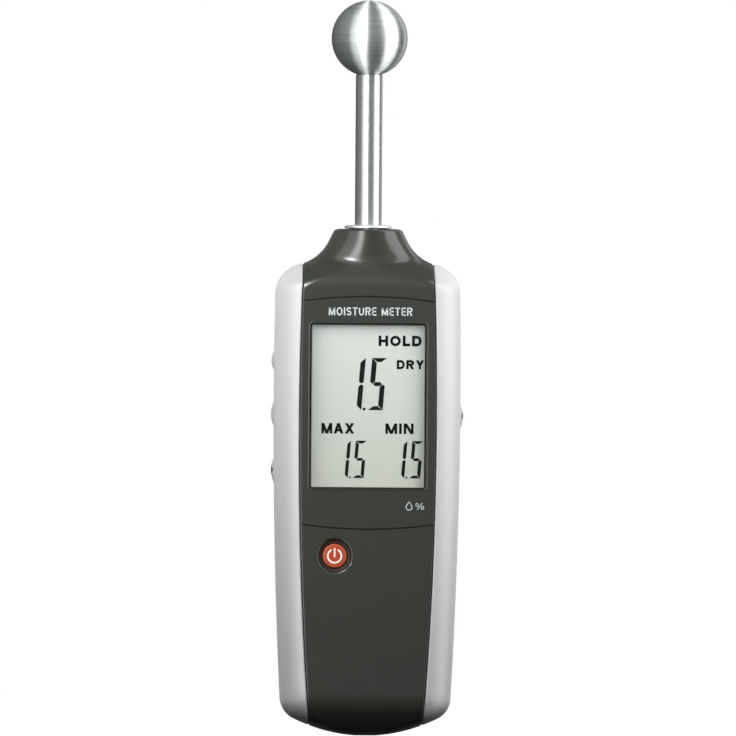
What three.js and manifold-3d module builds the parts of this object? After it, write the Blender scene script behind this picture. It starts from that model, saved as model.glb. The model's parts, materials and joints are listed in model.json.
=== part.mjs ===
// A hand-held moisture meter with a ball probe, as an assembly of separate pieces. Millimetres.
// x runs to the right seen from the front, y to the back, z up towards the ball.
// Inside this file z = 0 is the bottom tip and y = 0 the parting plane of the two covers;
// the exported group shifts that so that its origin lies on the flat back.

import * as THREE from "three";
import { mergeVertices } from "three/addons/utils/BufferGeometryUtils.js";
import Module from "manifold-3d";

const wasm = await Module();
wasm.setup();

// ---------------------------------------------------------------- driving dimensions

const HALF_DEPTH = 14; // parting plane to the flat front and to the flat back
const NECK_TOP = 162; // where the probe leaves the casing
const ORIGIN_HEIGHT = 100; // of the group's origin, on the flat back above the battery door
const SKIN = 1.4; // thickness of the side shells and of the display bezel
const GAP = 0.3; // between two neighbouring pieces
const WALL = 2.9; // outer face to cavity of the covers
const SEAM_CLEARANCE = 0.2; // each side of the seam line between silver and dark pieces

// The casing's outline seen from the front, as arcs that run into each other.
const TIP = { radius: 50.5, flat: 0.15 };
const FOOT = { x: 19.75, z: 12.3, radius: 7.5 };
const SIDE = { widest: 29.75, at: 108, radius: 1832, steps: 5 };
const SHOULDER = { x: 19.85, z: 141.3, radius: 9.6 };
const FLARE = { radius: 14, start: THREE.MathUtils.degToRad(77), slope: 0.5 };
FLARE.x = SHOULDER.x + (SHOULDER.radius + FLARE.radius) * Math.cos(FLARE.start);
FLARE.z = SHOULDER.z + (SHOULDER.radius + FLARE.radius) * Math.sin(FLARE.start);
FLARE.end = Math.atan(FLARE.slope);
const NECK = { depth: 11.05, edge: 0.8, from: 143.5, to: 153.5 }; // the depth shrinks from from to to

// The same casing seen from the side, and the corner rounding of its cross-sections.
const FRONT_CURL = 14; // the front face curls back to the tip on this radius
const BACK_CURL = 8;
const CORNER = 9;
const ROUND_FROM = 141.3; // the corners grow to the full depth between these heights
const ROUND_TO = 151.5;
const OVAL_FROM = 143.5; // and to the full width between these, which makes the neck's sections oval
const OVAL_TO = 152.5;

// The seam that parts the dark middle from the silver sides.
const SEAM = { half: 21.8, at: 100, radius: 1250 };

const BEZEL = { low: 66.3, high: 140.1, radius: 145 };
const WINDOW = { half: 18.55, low: 79.1, high: 131.8, corner: 0.8 };
const POWER = { x: -10.3, z: 57.7, radius: 3.85 };
const SIDE_BUTTON = { y: -1.5, width: 5.6, height: 1, flange: 0.9, crown: 2.2 };
const LEFT_BUTTONS = [
  { name: "left_upper", z: 119.9, length: 6.6 },
  { name: "left_middle", z: 102.8, length: 8.2 },
  { name: "left_lower", z: 84.9, length: 8.6 },
];
const RIGHT_BUTTON = { name: "right", z: 102.4, length: 8.6 };

const BALL = { radius: 12.15, z: 223 };
const STEM = { radius: 4.3, spigot: 3, from: 163.25, to: 211.4 };

const BOARD = { front: -7.8, back: -6.2, half: 24.3, low: 52.5, high: 137.5 };
const MOUNTED = 0.1; // what is soldered to the board stands this far off its face
const ON_BOARD = BOARD.back + MOUNTED;
const BEFORE_BOARD = BOARD.front - MOUNTED;
const BATTERY = { half: 13.2, front: -5.9, back: 11.6, low: 6.2, high: 52.6, pitch: 6.35 };
const DOOR = { half: 15.3, inside: 12.2, low: 3.9, high: 60.1, tongue: 1.3 };

const CASE_SCREWS = [
  { name: "upper_left", x: -17, z: 142.8 },
  { name: "upper_right", x: 17, z: 142.8 },
  { name: "lower_left", x: -17.5, z: 66 },
  { name: "lower_right", x: 17.5, z: 66 },
];
const BOARD_SCREWS = [
  { name: "upper_left", x: -22.7, z: 133 },
  { name: "upper_right", x: 22.7, z: 133 },
  { name: "lower_left", x: -22.7, z: 70 },
  { name: "lower_right", x: 22.7, z: 70 },
];

// ---------------------------------------------------------------- materials

const plastic = (color, roughness = 0.55) =>
  new THREE.MeshStandardMaterial({ color, roughness, metalness: 0 });
const metal = (color, roughness = 0.3) =>
  new THREE.MeshStandardMaterial({ color, roughness, metalness: 1 });

const MATERIALS = {
  darkPlastic: plastic(0x3c3e38),
  silverPlastic: plastic(0xd4d7d8, 0.4),
  softGrey: plastic(0xc2c5c6, 0.6),
  orange: plastic(0xc65a2c, 0.45),
  lens: plastic(0xe4ebe4, 0.1),
  lcdGlass: plastic(0xd3d9cf, 0.2),
  whitePlastic: plastic(0xe9e9e4),
  blackPlastic: plastic(0x161616),
  rubber: plastic(0x202020, 0.8),
  board: plastic(0x1f5a34, 0.5),
  brushedSteel: metal(0xb9bcbc, 0.35),
  brightSteel: metal(0xcfd2d2, 0.2),
  brass: metal(0xc9a455, 0.35),
  batteryCase: plastic(0x2b3a52, 0.4),
  redWire: plastic(0xb02020, 0.5),
  blackWire: plastic(0x141414, 0.5),
  yellowWire: plastic(0xd8b020, 0.5),
};

// ---------------------------------------------------------------- solids from three.js geometries

function solid(geometry) {
  const bare = new THREE.BufferGeometry();
  bare.setAttribute("position", geometry.getAttribute("position"));
  bare.setIndex(geometry.index);
  const merged = mergeVertices(bare.index ? bare.toNonIndexed() : bare, 1e-4);
  const kept = [];
  for (let i = 0; i < merged.index.count; i += 3) {
    const [a, b, c] = merged.index.array.slice(i, i + 3);
    if (a !== b && b !== c && c !== a) kept.push(a, b, c);
  }
  return new wasm.Manifold(
    new wasm.Mesh({
      numProp: 3,
      vertProperties: merged.attributes.position.array,
      triVerts: new Uint32Array(kept),
    }),
  );
}

const join = (...solids) => solids.reduce((whole, next) => whole.add(next));
const cut = (whole, ...tools) => tools.reduce((rest, tool) => rest.subtract(tool), whole);

const meter = new THREE.Group();
meter.position.set(0, -HALF_DEPTH, -ORIGIN_HEIGHT);

function piece(name, body, material) {
  const mesh = body.getMesh();
  const corners = new Float32Array(mesh.numVert * 3);
  for (let i = 0; i < mesh.numVert; i++) {
    corners.set(mesh.vertProperties.subarray(i * mesh.numProp, i * mesh.numProp + 3), i * 3);
  }
  const geometry = new THREE.BufferGeometry();
  geometry.setAttribute("position", new THREE.BufferAttribute(corners, 3));
  geometry.setIndex(new THREE.BufferAttribute(mesh.triVerts, 1));
  geometry.computeVertexNormals();
  const made = new THREE.Mesh(geometry, material);
  made.name = name;
  meter.add(made);
}

function box(x0, x1, y0, y1, z0, z1) {
  const geometry = new THREE.BoxGeometry(x1 - x0, y1 - y0, z1 - z0);
  return solid(geometry.translate((x0 + x1) / 2, (y0 + y1) / 2, (z0 + z1) / 2));
}

// A flat outline is drawn as (x, z) and pushed through y, or as (x, y) and pushed up z.
const ALONG_Y = new THREE.Matrix4().makeRotationX(Math.PI / 2);
const ALONG_Z = new THREE.Matrix4();

function extrude(shape, plane, from, to) {
  const [start, end] = plane === ALONG_Y ? [-to, -from] : [from, to];
  const options = { depth: end - start, bevelEnabled: false, curveSegments: 4 };
  const geometry = new THREE.ExtrudeGeometry(shape, options).translate(0, 0, start);
  return solid(geometry.applyMatrix4(plane));
}

function roundedRect(left, right, low, high, radius) {
  const shape = new THREE.Shape();
  shape.moveTo(left + radius, low);
  shape.lineTo(right - radius, low);
  shape.absarc(right - radius, low + radius, radius, -Math.PI / 2, 0);
  shape.absarc(right - radius, high - radius, radius, 0, Math.PI / 2);
  shape.absarc(left + radius, high - radius, radius, Math.PI / 2, Math.PI);
  shape.absarc(left + radius, low + radius, radius, Math.PI, Math.PI * 1.5);
  return shape;
}

// A cylinder along one axis, between two places on it; a and b are its centre on the other two axes.
function rod(axis, a, b, radius, from, to, segments = 20) {
  const geometry = new THREE.CylinderGeometry(radius, radius, to - from, segments);
  const middle = (from + to) / 2;
  if (axis === "x") geometry.rotateZ(-Math.PI / 2).translate(middle, a, b);
  if (axis === "y") geometry.translate(a, middle, b);
  if (axis === "z") geometry.rotateX(Math.PI / 2).translate(a, b, middle);
  return solid(geometry);
}

// A profile of (radius, height) points, turned round the probe's axis.
function turned(profile, segments = 28) {
  const points = profile.map(([radius, height]) => new THREE.Vector2(radius, height));
  return solid(new THREE.LatheGeometry(points, segments).rotateX(Math.PI / 2));
}

// A closed solid through a stack of convex outlines that have the same number of points, lowest first.
function loft(outlines) {
  const count = outlines[0].length;
  const corners = outlines.flat(2);
  const first = outlines.length * count;
  for (const outline of [outlines[0], outlines[outlines.length - 1]]) {
    for (let axis = 0; axis < 3; axis++) {
      corners.push(outline.reduce((sum, point) => sum + point[axis], 0) / count);
    }
  }
  const faces = [];
  for (let i = 0; i < count; i++) {
    const next = (i + 1) % count;
    for (let k = 0; k + 1 < outlines.length; k++) {
      const [a, b] = [k * count + i, k * count + next];
      faces.push(a, b, b + count, a, b + count, a + count);
    }
    faces.push(first, next, i);
    faces.push(first + 1, first - count + i, first - count + next);
  }
  const geometry = new THREE.BufferGeometry();
  geometry.setAttribute("position", new THREE.Float32BufferAttribute(corners, 3));
  geometry.setIndex(faces);
  return solid(geometry);
}

function wire(radius, points) {
  const path = new THREE.CatmullRomCurve3(points.map((p) => new THREE.Vector3(...p)));
  const section = new THREE.Shape().absarc(0, 0, radius, 0, Math.PI * 2);
  const options = { extrudePath: path, steps: 12, curveSegments: 3 };
  return solid(new THREE.ExtrudeGeometry(section, options));
}

// ---------------------------------------------------------------- the casing's form

// Half the casing's width at a height, for a surface that lies inset below the outer one.
function halfWidth(z, inset) {
  const tipSlope = (TIP.radius - FOOT.z) / (TIP.radius - FOOT.radius);
  const tipTop = TIP.radius - (TIP.radius - inset) * tipSlope;
  const footTop = FOOT.z - ((FOOT.radius - inset) * (SIDE.at - FOOT.z)) / SIDE.radius;
  const flareFrom = SHOULDER.z + (SHOULDER.radius - inset) * Math.sin(FLARE.start);
  const coneFrom = FLARE.z - (FLARE.radius + inset) * Math.sin(FLARE.end);
  const arc = (radius, rise) => Math.sqrt(Math.max(0, radius ** 2 - rise ** 2));
  if (z < tipTop) return arc(TIP.radius - inset, TIP.radius - z);
  if (z < footTop) return FOOT.x + arc(FOOT.radius - inset, FOOT.z - z);
  if (z < SHOULDER.z) return SIDE.widest - inset - (z - SIDE.at) ** 2 / (2 * SIDE.radius);
  if (z < flareFrom) return SHOULDER.x + arc(SHOULDER.radius - inset, z - SHOULDER.z);
  if (z < coneFrom) return FLARE.x - arc(FLARE.radius + inset, FLARE.z - z);
  const coneFoot = FLARE.x - (FLARE.radius + inset) * Math.cos(FLARE.end);
  const cone = coneFoot - FLARE.slope * (z - coneFrom);
  const edge = z - (NECK_TOP - NECK.edge);
  return edge > 0 && inset === 0 ? cone - NECK.edge + arc(NECK.edge, edge) : cone;
}

// How far the front (or the back) lies from the parting plane at a height.
function halfDepth(z, inset, curl) {
  if (z < curl) {
    const rise = curl - z;
    return HALF_DEPTH - curl + Math.sqrt(Math.max(0, (curl - inset) ** 2 - rise ** 2));
  }
  const share = THREE.MathUtils.smoothstep(z, NECK.from, NECK.to);
  const depth = THREE.MathUtils.lerp(HALF_DEPTH, NECK.depth, share) - inset;
  return Math.min(depth, halfWidth(z, inset));
}

// How deep a section's corner is: it grows to the full depth towards the neck.
function cornerRadius(z, inset, depth) {
  const share = THREE.MathUtils.smoothstep(z, ROUND_FROM, ROUND_TO);
  const radius = THREE.MathUtils.lerp(CORNER - inset, depth, share);
  return Math.min(radius, depth, halfWidth(z, inset));
}

// How wide a section's corner is: it is as wide as it is deep, and grows to the full width towards the neck.
function cornerWidth(z, corner, width) {
  return THREE.MathUtils.lerp(corner, width, THREE.MathUtils.smoothstep(z, OVAL_FROM, OVAL_TO));
}

// The heights at which a surface gets a section, with so many of them on each curved stretch.
function stations(inset, steps) {
  const heights = [];
  const first = Math.acos(1 - TIP.flat / (FRONT_CURL - inset));
  for (let i = 0; i <= steps + 1; i++) {
    const angle = THREE.MathUtils.lerp(first, Math.PI / 2, i / (steps + 1));
    heights.push(FRONT_CURL - (FRONT_CURL - inset) * Math.cos(angle));
  }
  for (let i = 1; i < SIDE.steps; i++) {
    heights.push(THREE.MathUtils.lerp(FRONT_CURL, SHOULDER.z, i / SIDE.steps));
  }
  for (let i = 0; i <= steps; i++) {
    const angle = (FLARE.start * i) / steps;
    heights.push(SHOULDER.z + (SHOULDER.radius - inset) * Math.sin(angle));
  }
  for (let i = 1; i <= steps; i++) {
    const angle = THREE.MathUtils.lerp(FLARE.start, FLARE.end, i / steps);
    heights.push(FLARE.z - (FLARE.radius + inset) * Math.sin(angle));
  }
  if (inset === 0) heights.push(NECK_TOP - NECK.edge, NECK_TOP - NECK.edge * 0.3);
  heights.push(NECK_TOP - inset);
  return heights;
}

// One section: from the middle of the front round the right side to the middle of the back, and home.
function section(z, inset, steps) {
  const width = halfWidth(z, inset);
  const front = halfDepth(z, inset, FRONT_CURL);
  const back = halfDepth(z, inset, BACK_CURL);
  const frontCorner = cornerRadius(z, inset, front);
  const backCorner = cornerRadius(z, inset, back);
  const frontWidth = cornerWidth(z, frontCorner, width);
  const backWidth = cornerWidth(z, backCorner, width);
  const right = [[0, -front]];
  for (let i = 0; i <= steps; i++) {
    const angle = ((i / steps) * Math.PI) / 2;
    right.push([
      width - frontWidth * (1 - Math.sin(angle)),
      -front + frontCorner * (1 - Math.cos(angle)),
    ]);
  }
  for (let i = 0; i <= steps; i++) {
    const angle = ((i / steps) * Math.PI) / 2;
    right.push([
      width - backWidth * (1 - Math.cos(angle)),
      back - backCorner * (1 - Math.sin(angle)),
    ]);
  }
  right.push([0, back]);
  const left = right.slice(1, -1).reverse();
  return [...right, ...left.map(([x, y]) => [-x, y])].map(([x, y]) => [x, y, z]);
}

// The solid inside one such surface.
const casing = (inset, steps = 5) =>
  loft(stations(inset, steps).map((z) => section(z, inset, steps)));

const seamHalf = (z) => SEAM.half - (z - SEAM.at) ** 2 / (2 * SEAM.radius);

// Everything between the two seams, drawn in by a clearance (or out, where it is negative).
function middle(clearance) {
  const shape = new THREE.Shape();
  const heights = Array.from({ length: 12 }, (_, i) => -2 + i * 15.5);
  const edge = heights.map((z) => new THREE.Vector2(seamHalf(z) - clearance, z));
  const mirrored = edge.map((p) => new THREE.Vector2(-p.x, p.y)).reverse();
  shape.setFromPoints([...edge, ...mirrored]);
  return extrude(shape, ALONG_Y, -2 * HALF_DEPTH, 2 * HALF_DEPTH);
}

// The band of the front between the two curved seams that the bezel fills.
function bezelBand(grow) {
  const shape = new THREE.Shape();
  const rise = (x) => x ** 2 / (2 * BEZEL.radius);
  const xs = Array.from({ length: 9 }, (_, i) => -24 + i * 6);
  const low = xs.map((x) => new THREE.Vector2(x, BEZEL.low - grow + rise(x)));
  const high = xs.map((x) => new THREE.Vector2(x, BEZEL.high + grow - rise(x)));
  shape.setFromPoints([...low, ...high.reverse()]);
  return extrude(shape, ALONG_Y, -2 * HALF_DEPTH, 0);
}

const outside = casing(0);
const underSkin = casing(SKIN);
const coreOutside = casing(SKIN + GAP);
const cavity = casing(WALL, 3);

const FAR = 300;
const frontHalf = box(-FAR, FAR, -FAR, -GAP / 2, -FAR, FAR);
const backHalf = box(-FAR, FAR, GAP / 2, FAR, -FAR, FAR);
const leftHalf = box(-FAR, 0, -FAR, FAR, -FAR, FAR);
const rightHalf = box(0, FAR, -FAR, FAR, -FAR, FAR);

// ---------------------------------------------------------------- side shells and side buttons

// The outline of a side button at one x: two half rounds with a straight stretch between them.
function buttonOutline(button, grow, x) {
  const sides = 16;
  const half = SIDE_BUTTON.width / 2 + grow;
  const straight = (button.length - SIDE_BUTTON.width) / 2;
  return Array.from({ length: sides }, (_, i) => {
    const angle = ((i + 0.5) / sides) * 2 * Math.PI;
    const end = button.z + Math.sign(Math.sin(angle)) * straight;
    return [x, SIDE_BUTTON.y + half * Math.cos(angle), end + half * Math.sin(angle)];
  });
}

const mirror = (body, side) => (side < 0 ? body.mirror([1, 0, 0]) : body);

// The opening for a button through the casing's side wall.
const buttonHole = (button, side) =>
  mirror(loft([20, 40].map((x) => buttonOutline(button, GAP, x))), side);

function sideButton(button, side) {
  const surface = SIDE.widest - (button.z - SIDE.at) ** 2 / (2 * SIDE.radius);
  const inner = surface - WALL - 0.4;
  const { flange, height, crown } = SIDE_BUTTON;
  const profile = [
    [flange, inner - 0.9],
    [flange, inner],
    [0, inner],
  ];
  for (let i = 0; i <= 3; i++) {
    const angle = ((i / 3) * Math.PI) / 2;
    profile.push([-crown * (1 - Math.cos(angle)), surface - 0.1 + (height + 0.1) * Math.sin(angle)]);
  }
  const outlines = profile.map(([grow, x]) => buttonOutline(button, grow, x));
  piece(`${button.name}_button`, mirror(loft(outlines), side), MATERIALS.softGrey);
  sideSwitch(button, side, inner - 0.9);
}

// A right-angle push switch on the back of the board, with its plunger against the button.
function sideSwitch(button, side, buttonBack) {
  const { y } = SIDE_BUTTON;
  const front = 23.8;
  const body = box(front - 3.6, front, ON_BOARD, y + 2.1, button.z - 3.1, button.z + 3.1);
  const bore = rod("x", y, button.z, 1.75, front - 2.9, front + 1, 12);
  const plunger = rod("x", y, button.z, 1.6, front - 2.3, buttonBack - 0.1, 12);
  const name = `${button.name}_switch`;
  piece(`${name}_body`, mirror(cut(body, bore), side), MATERIALS.blackPlastic);
  piece(`${name}_plunger`, mirror(plunger, side), MATERIALS.whitePlastic);
}

const shells = cut(
  outside,
  underSkin,
  middle(-SEAM_CLEARANCE),
  buttonHole(RIGHT_BUTTON, 1),
  ...LEFT_BUTTONS.map((button) => buttonHole(button, -1)),
);
piece("left_side_shell", shells.intersect(leftHalf), MATERIALS.silverPlastic);
piece("right_side_shell", shells.intersect(rightHalf), MATERIALS.silverPlastic);
LEFT_BUTTONS.forEach((button) => sideButton(button, -1));
sideButton(RIGHT_BUTTON, 1);

// ---------------------------------------------------------------- covers

// The dark core: full thickness between the seams, and one skin thinner under the side shells and the bezel.
const core = cut(
  join(cut(outside.intersect(middle(SEAM_CLEARANCE)), bezelBand(GAP)), coreOutside),
  cavity,
  buttonHole(RIGHT_BUTTON, 1),
  ...LEFT_BUTTONS.map((button) => buttonHole(button, -1)),
);

const BOSS_END = 5.85; // the front cover's bosses end here, and the back cover's start after a gap

// The way for the probe through the neck, with the groove for its seal.
const probeWay = join(
  rod("z", 0, 0, 4.7, 150, 170),
  rod("z", 0, 0, 6.3, NECK_TOP - 0.9, 170),
);

function frontCover() {
  const bosses = CASE_SCREWS.map(({ x, z }) => rod("y", x, z, 3, -WALL * 4, BOSS_END, 14));
  const posts = BOARD_SCREWS.map(({ x, z }) => rod("y", x, z, 1.7, -12, BOARD.front - 0.1, 10));
  const body = join(core.intersect(frontHalf), ...bosses, join(...posts).intersect(coreOutside));
  const pilots = CASE_SCREWS.map(({ x, z }) => rod("y", x, z, 1.45, -6.5, BOSS_END + 1, 10));
  const smallPilots = BOARD_SCREWS.map(({ x, z }) => rod("y", x, z, 1.0, -10.9, 0, 8));
  const opening = extrude(roundedRect(-20.2, 20.2, 75.6, 135.6, 1), ALONG_Y, -20, -9);
  const buttonBore = rod("y", POWER.x, POWER.z, POWER.radius + GAP, -20, -9, 24);
  const dish = new THREE.CylinderGeometry(POWER.radius + GAP, POWER.radius + 1.7, 1, 24);
  dish.translate(POWER.x, -HALF_DEPTH + 0.4, POWER.z);
  return cut(body, ...pilots, ...smallPilots, opening, buttonBore, solid(dish), probeWay);
}

// The battery bay hangs from the back cover: a box that is open to the back, with a floor under the battery.
const BAY = { half: 13.7, wall: 1.2, floor: -6.1, low: 5.7, high: 58.3, floorEnd: 52 };

function bay() {
  const half = BAY.half + BAY.wall;
  const lower = box(-half, half, BAY.floor - 1, 12, BAY.low - 1.3, BAY.floorEnd);
  const upper = box(-half, half, BATTERY.front + GAP, 12, BAY.floorEnd - 0.5, BAY.high + 1.3);
  const walls = join(lower, upper);
  const clearOfFront = casing(WALL + GAP, 3);
  return join(walls.intersect(clearOfFront), walls.intersect(coreOutside).intersect(backHalf));
}

function bayHollow() {
  const lower = box(-BAY.half, BAY.half, BAY.floor, 20, BAY.low, BAY.floorEnd);
  const upper = box(-BAY.half, BAY.half, -20, 20, BAY.floorEnd - 0.01, BAY.high);
  const leadNotch = box(2.5, 11, -20, -1.5, BAY.high - 1, BAY.high + 3);
  return join(lower, upper, leadNotch);
}

function rearCover() {
  const bosses = CASE_SCREWS.map(({ x, z }) => rod("y", x, z, 4.2, BOSS_END + GAP, 12.6, 16));
  const body = join(core.intersect(backHalf), join(...bosses).intersect(coreOutside), bay());
  const holes = CASE_SCREWS.map(({ x, z }) => rod("y", x, z, 1.6, 0, 20, 12));
  const headSeats = CASE_SCREWS.map(({ x, z }) => rod("y", x, z, 2.9, 10.6, 20, 16));
  const half = DOOR.half + GAP;
  const pocket = box(-half, half, DOOR.inside - GAP, 20, -3, DOOR.high + GAP);
  const groove = box(
    -half - DOOR.tongue,
    half + DOOR.tongue,
    DOOR.inside - GAP,
    13 + GAP,
    -3,
    DOOR.high - 0.8 + GAP,
  );
  return cut(body, ...holes, ...headSeats, pocket, groove, bayHollow(), probeWay);
}

piece("front_cover", frontCover(), MATERIALS.darkPlastic);
piece("rear_cover", rearCover(), MATERIALS.darkPlastic);

// ---------------------------------------------------------------- battery door

function batteryDoor() {
  const plate = box(-DOOR.half, DOOR.half, DOOR.inside, 20, DOOR.low, DOOR.high);
  const reach = DOOR.half + DOOR.tongue;
  const tongues = box(-reach, reach, DOOR.inside, 13, 6.5, DOOR.high - 0.8);
  const grip = extrude(roundedRect(-7, 7, 46.5, 55.5, 2), ALONG_Y, HALF_DEPTH - 0.7, 20);
  const ribs = [48.6, 51, 53.4].map((z) => box(-5.5, 5.5, 13, HALF_DEPTH - 0.15, z - 0.45, z + 0.45));
  return join(cut(join(plate, tongues).intersect(outside), grip), ...ribs);
}

piece("battery_door", batteryDoor(), MATERIALS.darkPlastic);

// ---------------------------------------------------------------- display

const windowShape = (grow) =>
  roundedRect(
    -WINDOW.half - grow,
    WINDOW.half + grow,
    WINDOW.low - grow,
    WINDOW.high + grow,
    WINDOW.corner,
  );

const bezel = cut(outside, underSkin)
  .intersect(middle(SEAM_CLEARANCE))
  .intersect(bezelBand(0))
  .subtract(extrude(windowShape(0), ALONG_Y, -20, -9));
piece("display_bezel", bezel, MATERIALS.darkPlastic);

const windowPlate = extrude(roundedRect(-19.9, 19.9, 75.9, 135.3, 0.8), ALONG_Y, -12.25, -11.2);
const windowPad = extrude(windowShape(-0.25), ALONG_Y, -13.5, -12);
piece("display_window", join(windowPlate, windowPad), MATERIALS.lens);

piece("lcd_panel", box(-19.5, 19.5, -10.9, -9.1, 76.2, 135), MATERIALS.lcdGlass);
piece("backlight_panel", box(-18.8, 18.8, -9, -8, 79.8, 131.4), MATERIALS.whitePlastic);
piece("lower_contact_strip", box(-18, 18, -9, -7.9, 76.8, 79.2), MATERIALS.rubber);
piece("upper_contact_strip", box(-18, 18, -9, -7.9, 132, 134.4), MATERIALS.rubber);

const lcdFrame = cut(
  extrude(roundedRect(-20.8, 20.8, 73.2, 138, 1), ALONG_Y, -10.7, BEFORE_BOARD),
  extrude(roundedRect(-19.8, 19.8, 75.9, 135.3, 0.3), ALONG_Y, -20, 0),
);
piece("lcd_frame", lcdFrame, MATERIALS.blackPlastic);

// ---------------------------------------------------------------- power button

function powerButton() {
  const cap = rod("y", POWER.x, POWER.z, POWER.radius, -13.55, -10.5, 24);
  const crown = rod("y", POWER.x, POWER.z, POWER.radius - 0.4, -13.8, -11, 24);
  const flange = rod("y", POWER.x, POWER.z, POWER.radius + 1.05, -10.9, -10.3, 24);
  return join(cap, crown, flange);
}

const powerSwitch = cut(
  box(POWER.x - 3.1, POWER.x + 3.1, -9.5, BEFORE_BOARD, POWER.z - 3.1, POWER.z + 3.1),
  rod("y", POWER.x, POWER.z, 1.75, -10, -8.05, 12),
);
piece("power_button", powerButton(), MATERIALS.orange);
piece("power_switch_body", powerSwitch, MATERIALS.blackPlastic);
piece("power_switch_plunger", rod("y", POWER.x, POWER.z, 1.6, -10.2, -8.6, 12), MATERIALS.whitePlastic);

// ---------------------------------------------------------------- circuit board and what is on it

function circuitBoard() {
  const outline = new THREE.Shape();
  const edge = [
    [19, BOARD.low],
    [19, 61],
    [BOARD.half, 65],
    [BOARD.half, BOARD.high - 3],
    [BOARD.half - 3, BOARD.high],
  ];
  const mirrored = edge.map(([x, z]) => [-x, z]).reverse();
  outline.setFromPoints([...edge, ...mirrored].map(([x, z]) => new THREE.Vector2(x, z)));
  const bossHoles = CASE_SCREWS.slice(2).map(({ x, z }) => rod("y", x, z, 3.5, -20, 0, 16));
  const screwHoles = BOARD_SCREWS.map(({ x, z }) => rod("y", x, z, 1.15, -20, 0, 10));
  return cut(extrude(outline, ALONG_Y, BOARD.front, BOARD.back), ...bossHoles, ...screwHoles);
}

piece("main_circuit_board", circuitBoard(), MATERIALS.board);

// A box on the back of the board: its middle, its size and its height.
function onBoard(name, x, z, wide, tall, height, material) {
  const body = box(x - wide / 2, x + wide / 2, ON_BOARD, ON_BOARD + height, z - tall / 2, z + tall / 2);
  piece(name, body, material);
}

onBoard("microcontroller", -4, 110, 12, 12, 1.6, MATERIALS.blackPlastic);
onBoard("amplifier_chip", 9, 126, 5, 4, 1.5, MATERIALS.blackPlastic);
onBoard("quartz_crystal", 9, 112, 11, 4.4, 3.5, MATERIALS.brightSteel);
onBoard("calibration_trimmer", -12, 128, 6.6, 6.6, 4.5, MATERIALS.whitePlastic);
onBoard("battery_connector", 6.6, 65.5, 8, 5, 4, MATERIALS.whitePlastic);
piece("buzzer", rod("y", 9, 84, 6, ON_BOARD, -1.6, 20), MATERIALS.blackPlastic);
piece("filter_capacitor", rod("y", -9, 80, 3.2, ON_BOARD, 1.5, 16), MATERIALS.rubber);

// ---------------------------------------------------------------- probe

const ball = cut(
  solid(new THREE.SphereGeometry(BALL.radius, 28, 16).rotateX(Math.PI / 2).translate(0, 0, BALL.z)),
  rod("z", 0, 0, 2.75, BALL.z - 20, BALL.z - 4.5, 16),
  rod("z", 0, 0, STEM.radius + GAP, BALL.z - 20, STEM.to + 0.1),
);
piece("sensor_ball", ball, MATERIALS.brushedSteel);

const stem = turned([
  [0, 149.5],
  [STEM.spigot, 149.5],
  [STEM.spigot, STEM.from],
  [STEM.radius, STEM.from],
  [STEM.radius, STEM.to],
  [2.5, STEM.to],
  [2.5, STEM.to + 6.5],
  [0, STEM.to + 6.5],
]);
piece("sensor_stem", stem, MATERIALS.brushedSteel);

// Rings on the stem's thread: inner and outer radius, and from where to where they reach.
const ring = (inner, outer, low, high, segments = 24) =>
  cut(rod("z", 0, 0, outer, low, high, segments), rod("z", 0, 0, inner, low - 1, high + 1, 20));

const BORE = STEM.spigot + 0.2;
piece("stem_washer", ring(BORE, 7.6, NECK_TOP + 0.25, STEM.from - 0.05, 32), MATERIALS.brightSteel);
piece("neck_seal", ring(5, 6.2, NECK_TOP - 0.8, NECK_TOP + 0.2), MATERIALS.rubber);
const insulator = join(ring(BORE, 7, 157.3, 158.8), ring(BORE, 4.4, 158.5, NECK_TOP - 0.1));
piece("stem_insulator", insulator, MATERIALS.whitePlastic);
const lugTab = cut(box(-1.3, 1.3, -7.6, 0, 156.3, 157), rod("z", 0, 0, 4, 150, 160));
const lug = join(ring(BORE, 5.4, 156.3, 157), lugTab);
piece("solder_lug", lug, MATERIALS.brass);
piece("stem_nut", ring(BORE, 5.7, 152.7, 156, 6), MATERIALS.brightSteel);
const sensorLead = wire(0.6, [
  [0, -6.7, 155.9],
  [0, -6.9, 150],
  [1.5, -5, 143],
  [3, -4.6, 138],
  [3, -5.1, 133],
]);
piece("sensor_lead", sensorLead, MATERIALS.yellowWire);

// ---------------------------------------------------------------- battery

const cellBody = roundedRect(-BATTERY.half, BATTERY.half, BATTERY.front, BATTERY.back, 1.6);
piece("battery", extrude(cellBody, ALONG_Z, BATTERY.low, BATTERY.high), MATERIALS.batteryCase);
const cellMiddle = (BATTERY.front + BATTERY.back) / 2;
const terminal = (x, radius, segments) =>
  rod("z", x, cellMiddle, radius, BATTERY.high + MOUNTED, BATTERY.high + 2.5, segments);
piece("battery_positive_terminal", terminal(BATTERY.pitch, 2.85, 16), MATERIALS.brightSteel);
piece("battery_negative_terminal", terminal(-BATTERY.pitch, 3.6, 6), MATERIALS.brightSteel);

const snapLow = BATTERY.high + 0.6;
const snap = cut(
  extrude(roundedRect(-13, 13, cellMiddle - 5.2, cellMiddle + 5.2, 4), ALONG_Z, snapLow, snapLow + 3),
  rod("z", BATTERY.pitch, cellMiddle, 3.2, snapLow - 1, snapLow + 2.3, 16),
  rod("z", -BATTERY.pitch, cellMiddle, 4, snapLow - 1, snapLow + 2.3, 16),
);
piece("battery_snap", snap, MATERIALS.blackPlastic);

// Each lead runs from the snap's front edge, through the notch over the bay, into the board's connector.
const batteryLead = (x) =>
  wire(0.6, [
    [x, cellMiddle - 5.8, snapLow + 1.5],
    [x, cellMiddle - 6.9, snapLow + 3.2],
    [x, -4.2, 59],
    [x, -4.2, 62.8],
  ]);
piece("battery_lead_positive", batteryLead(5), MATERIALS.redWire);
piece("battery_lead_negative", batteryLead(8.2), MATERIALS.blackWire);

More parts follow.
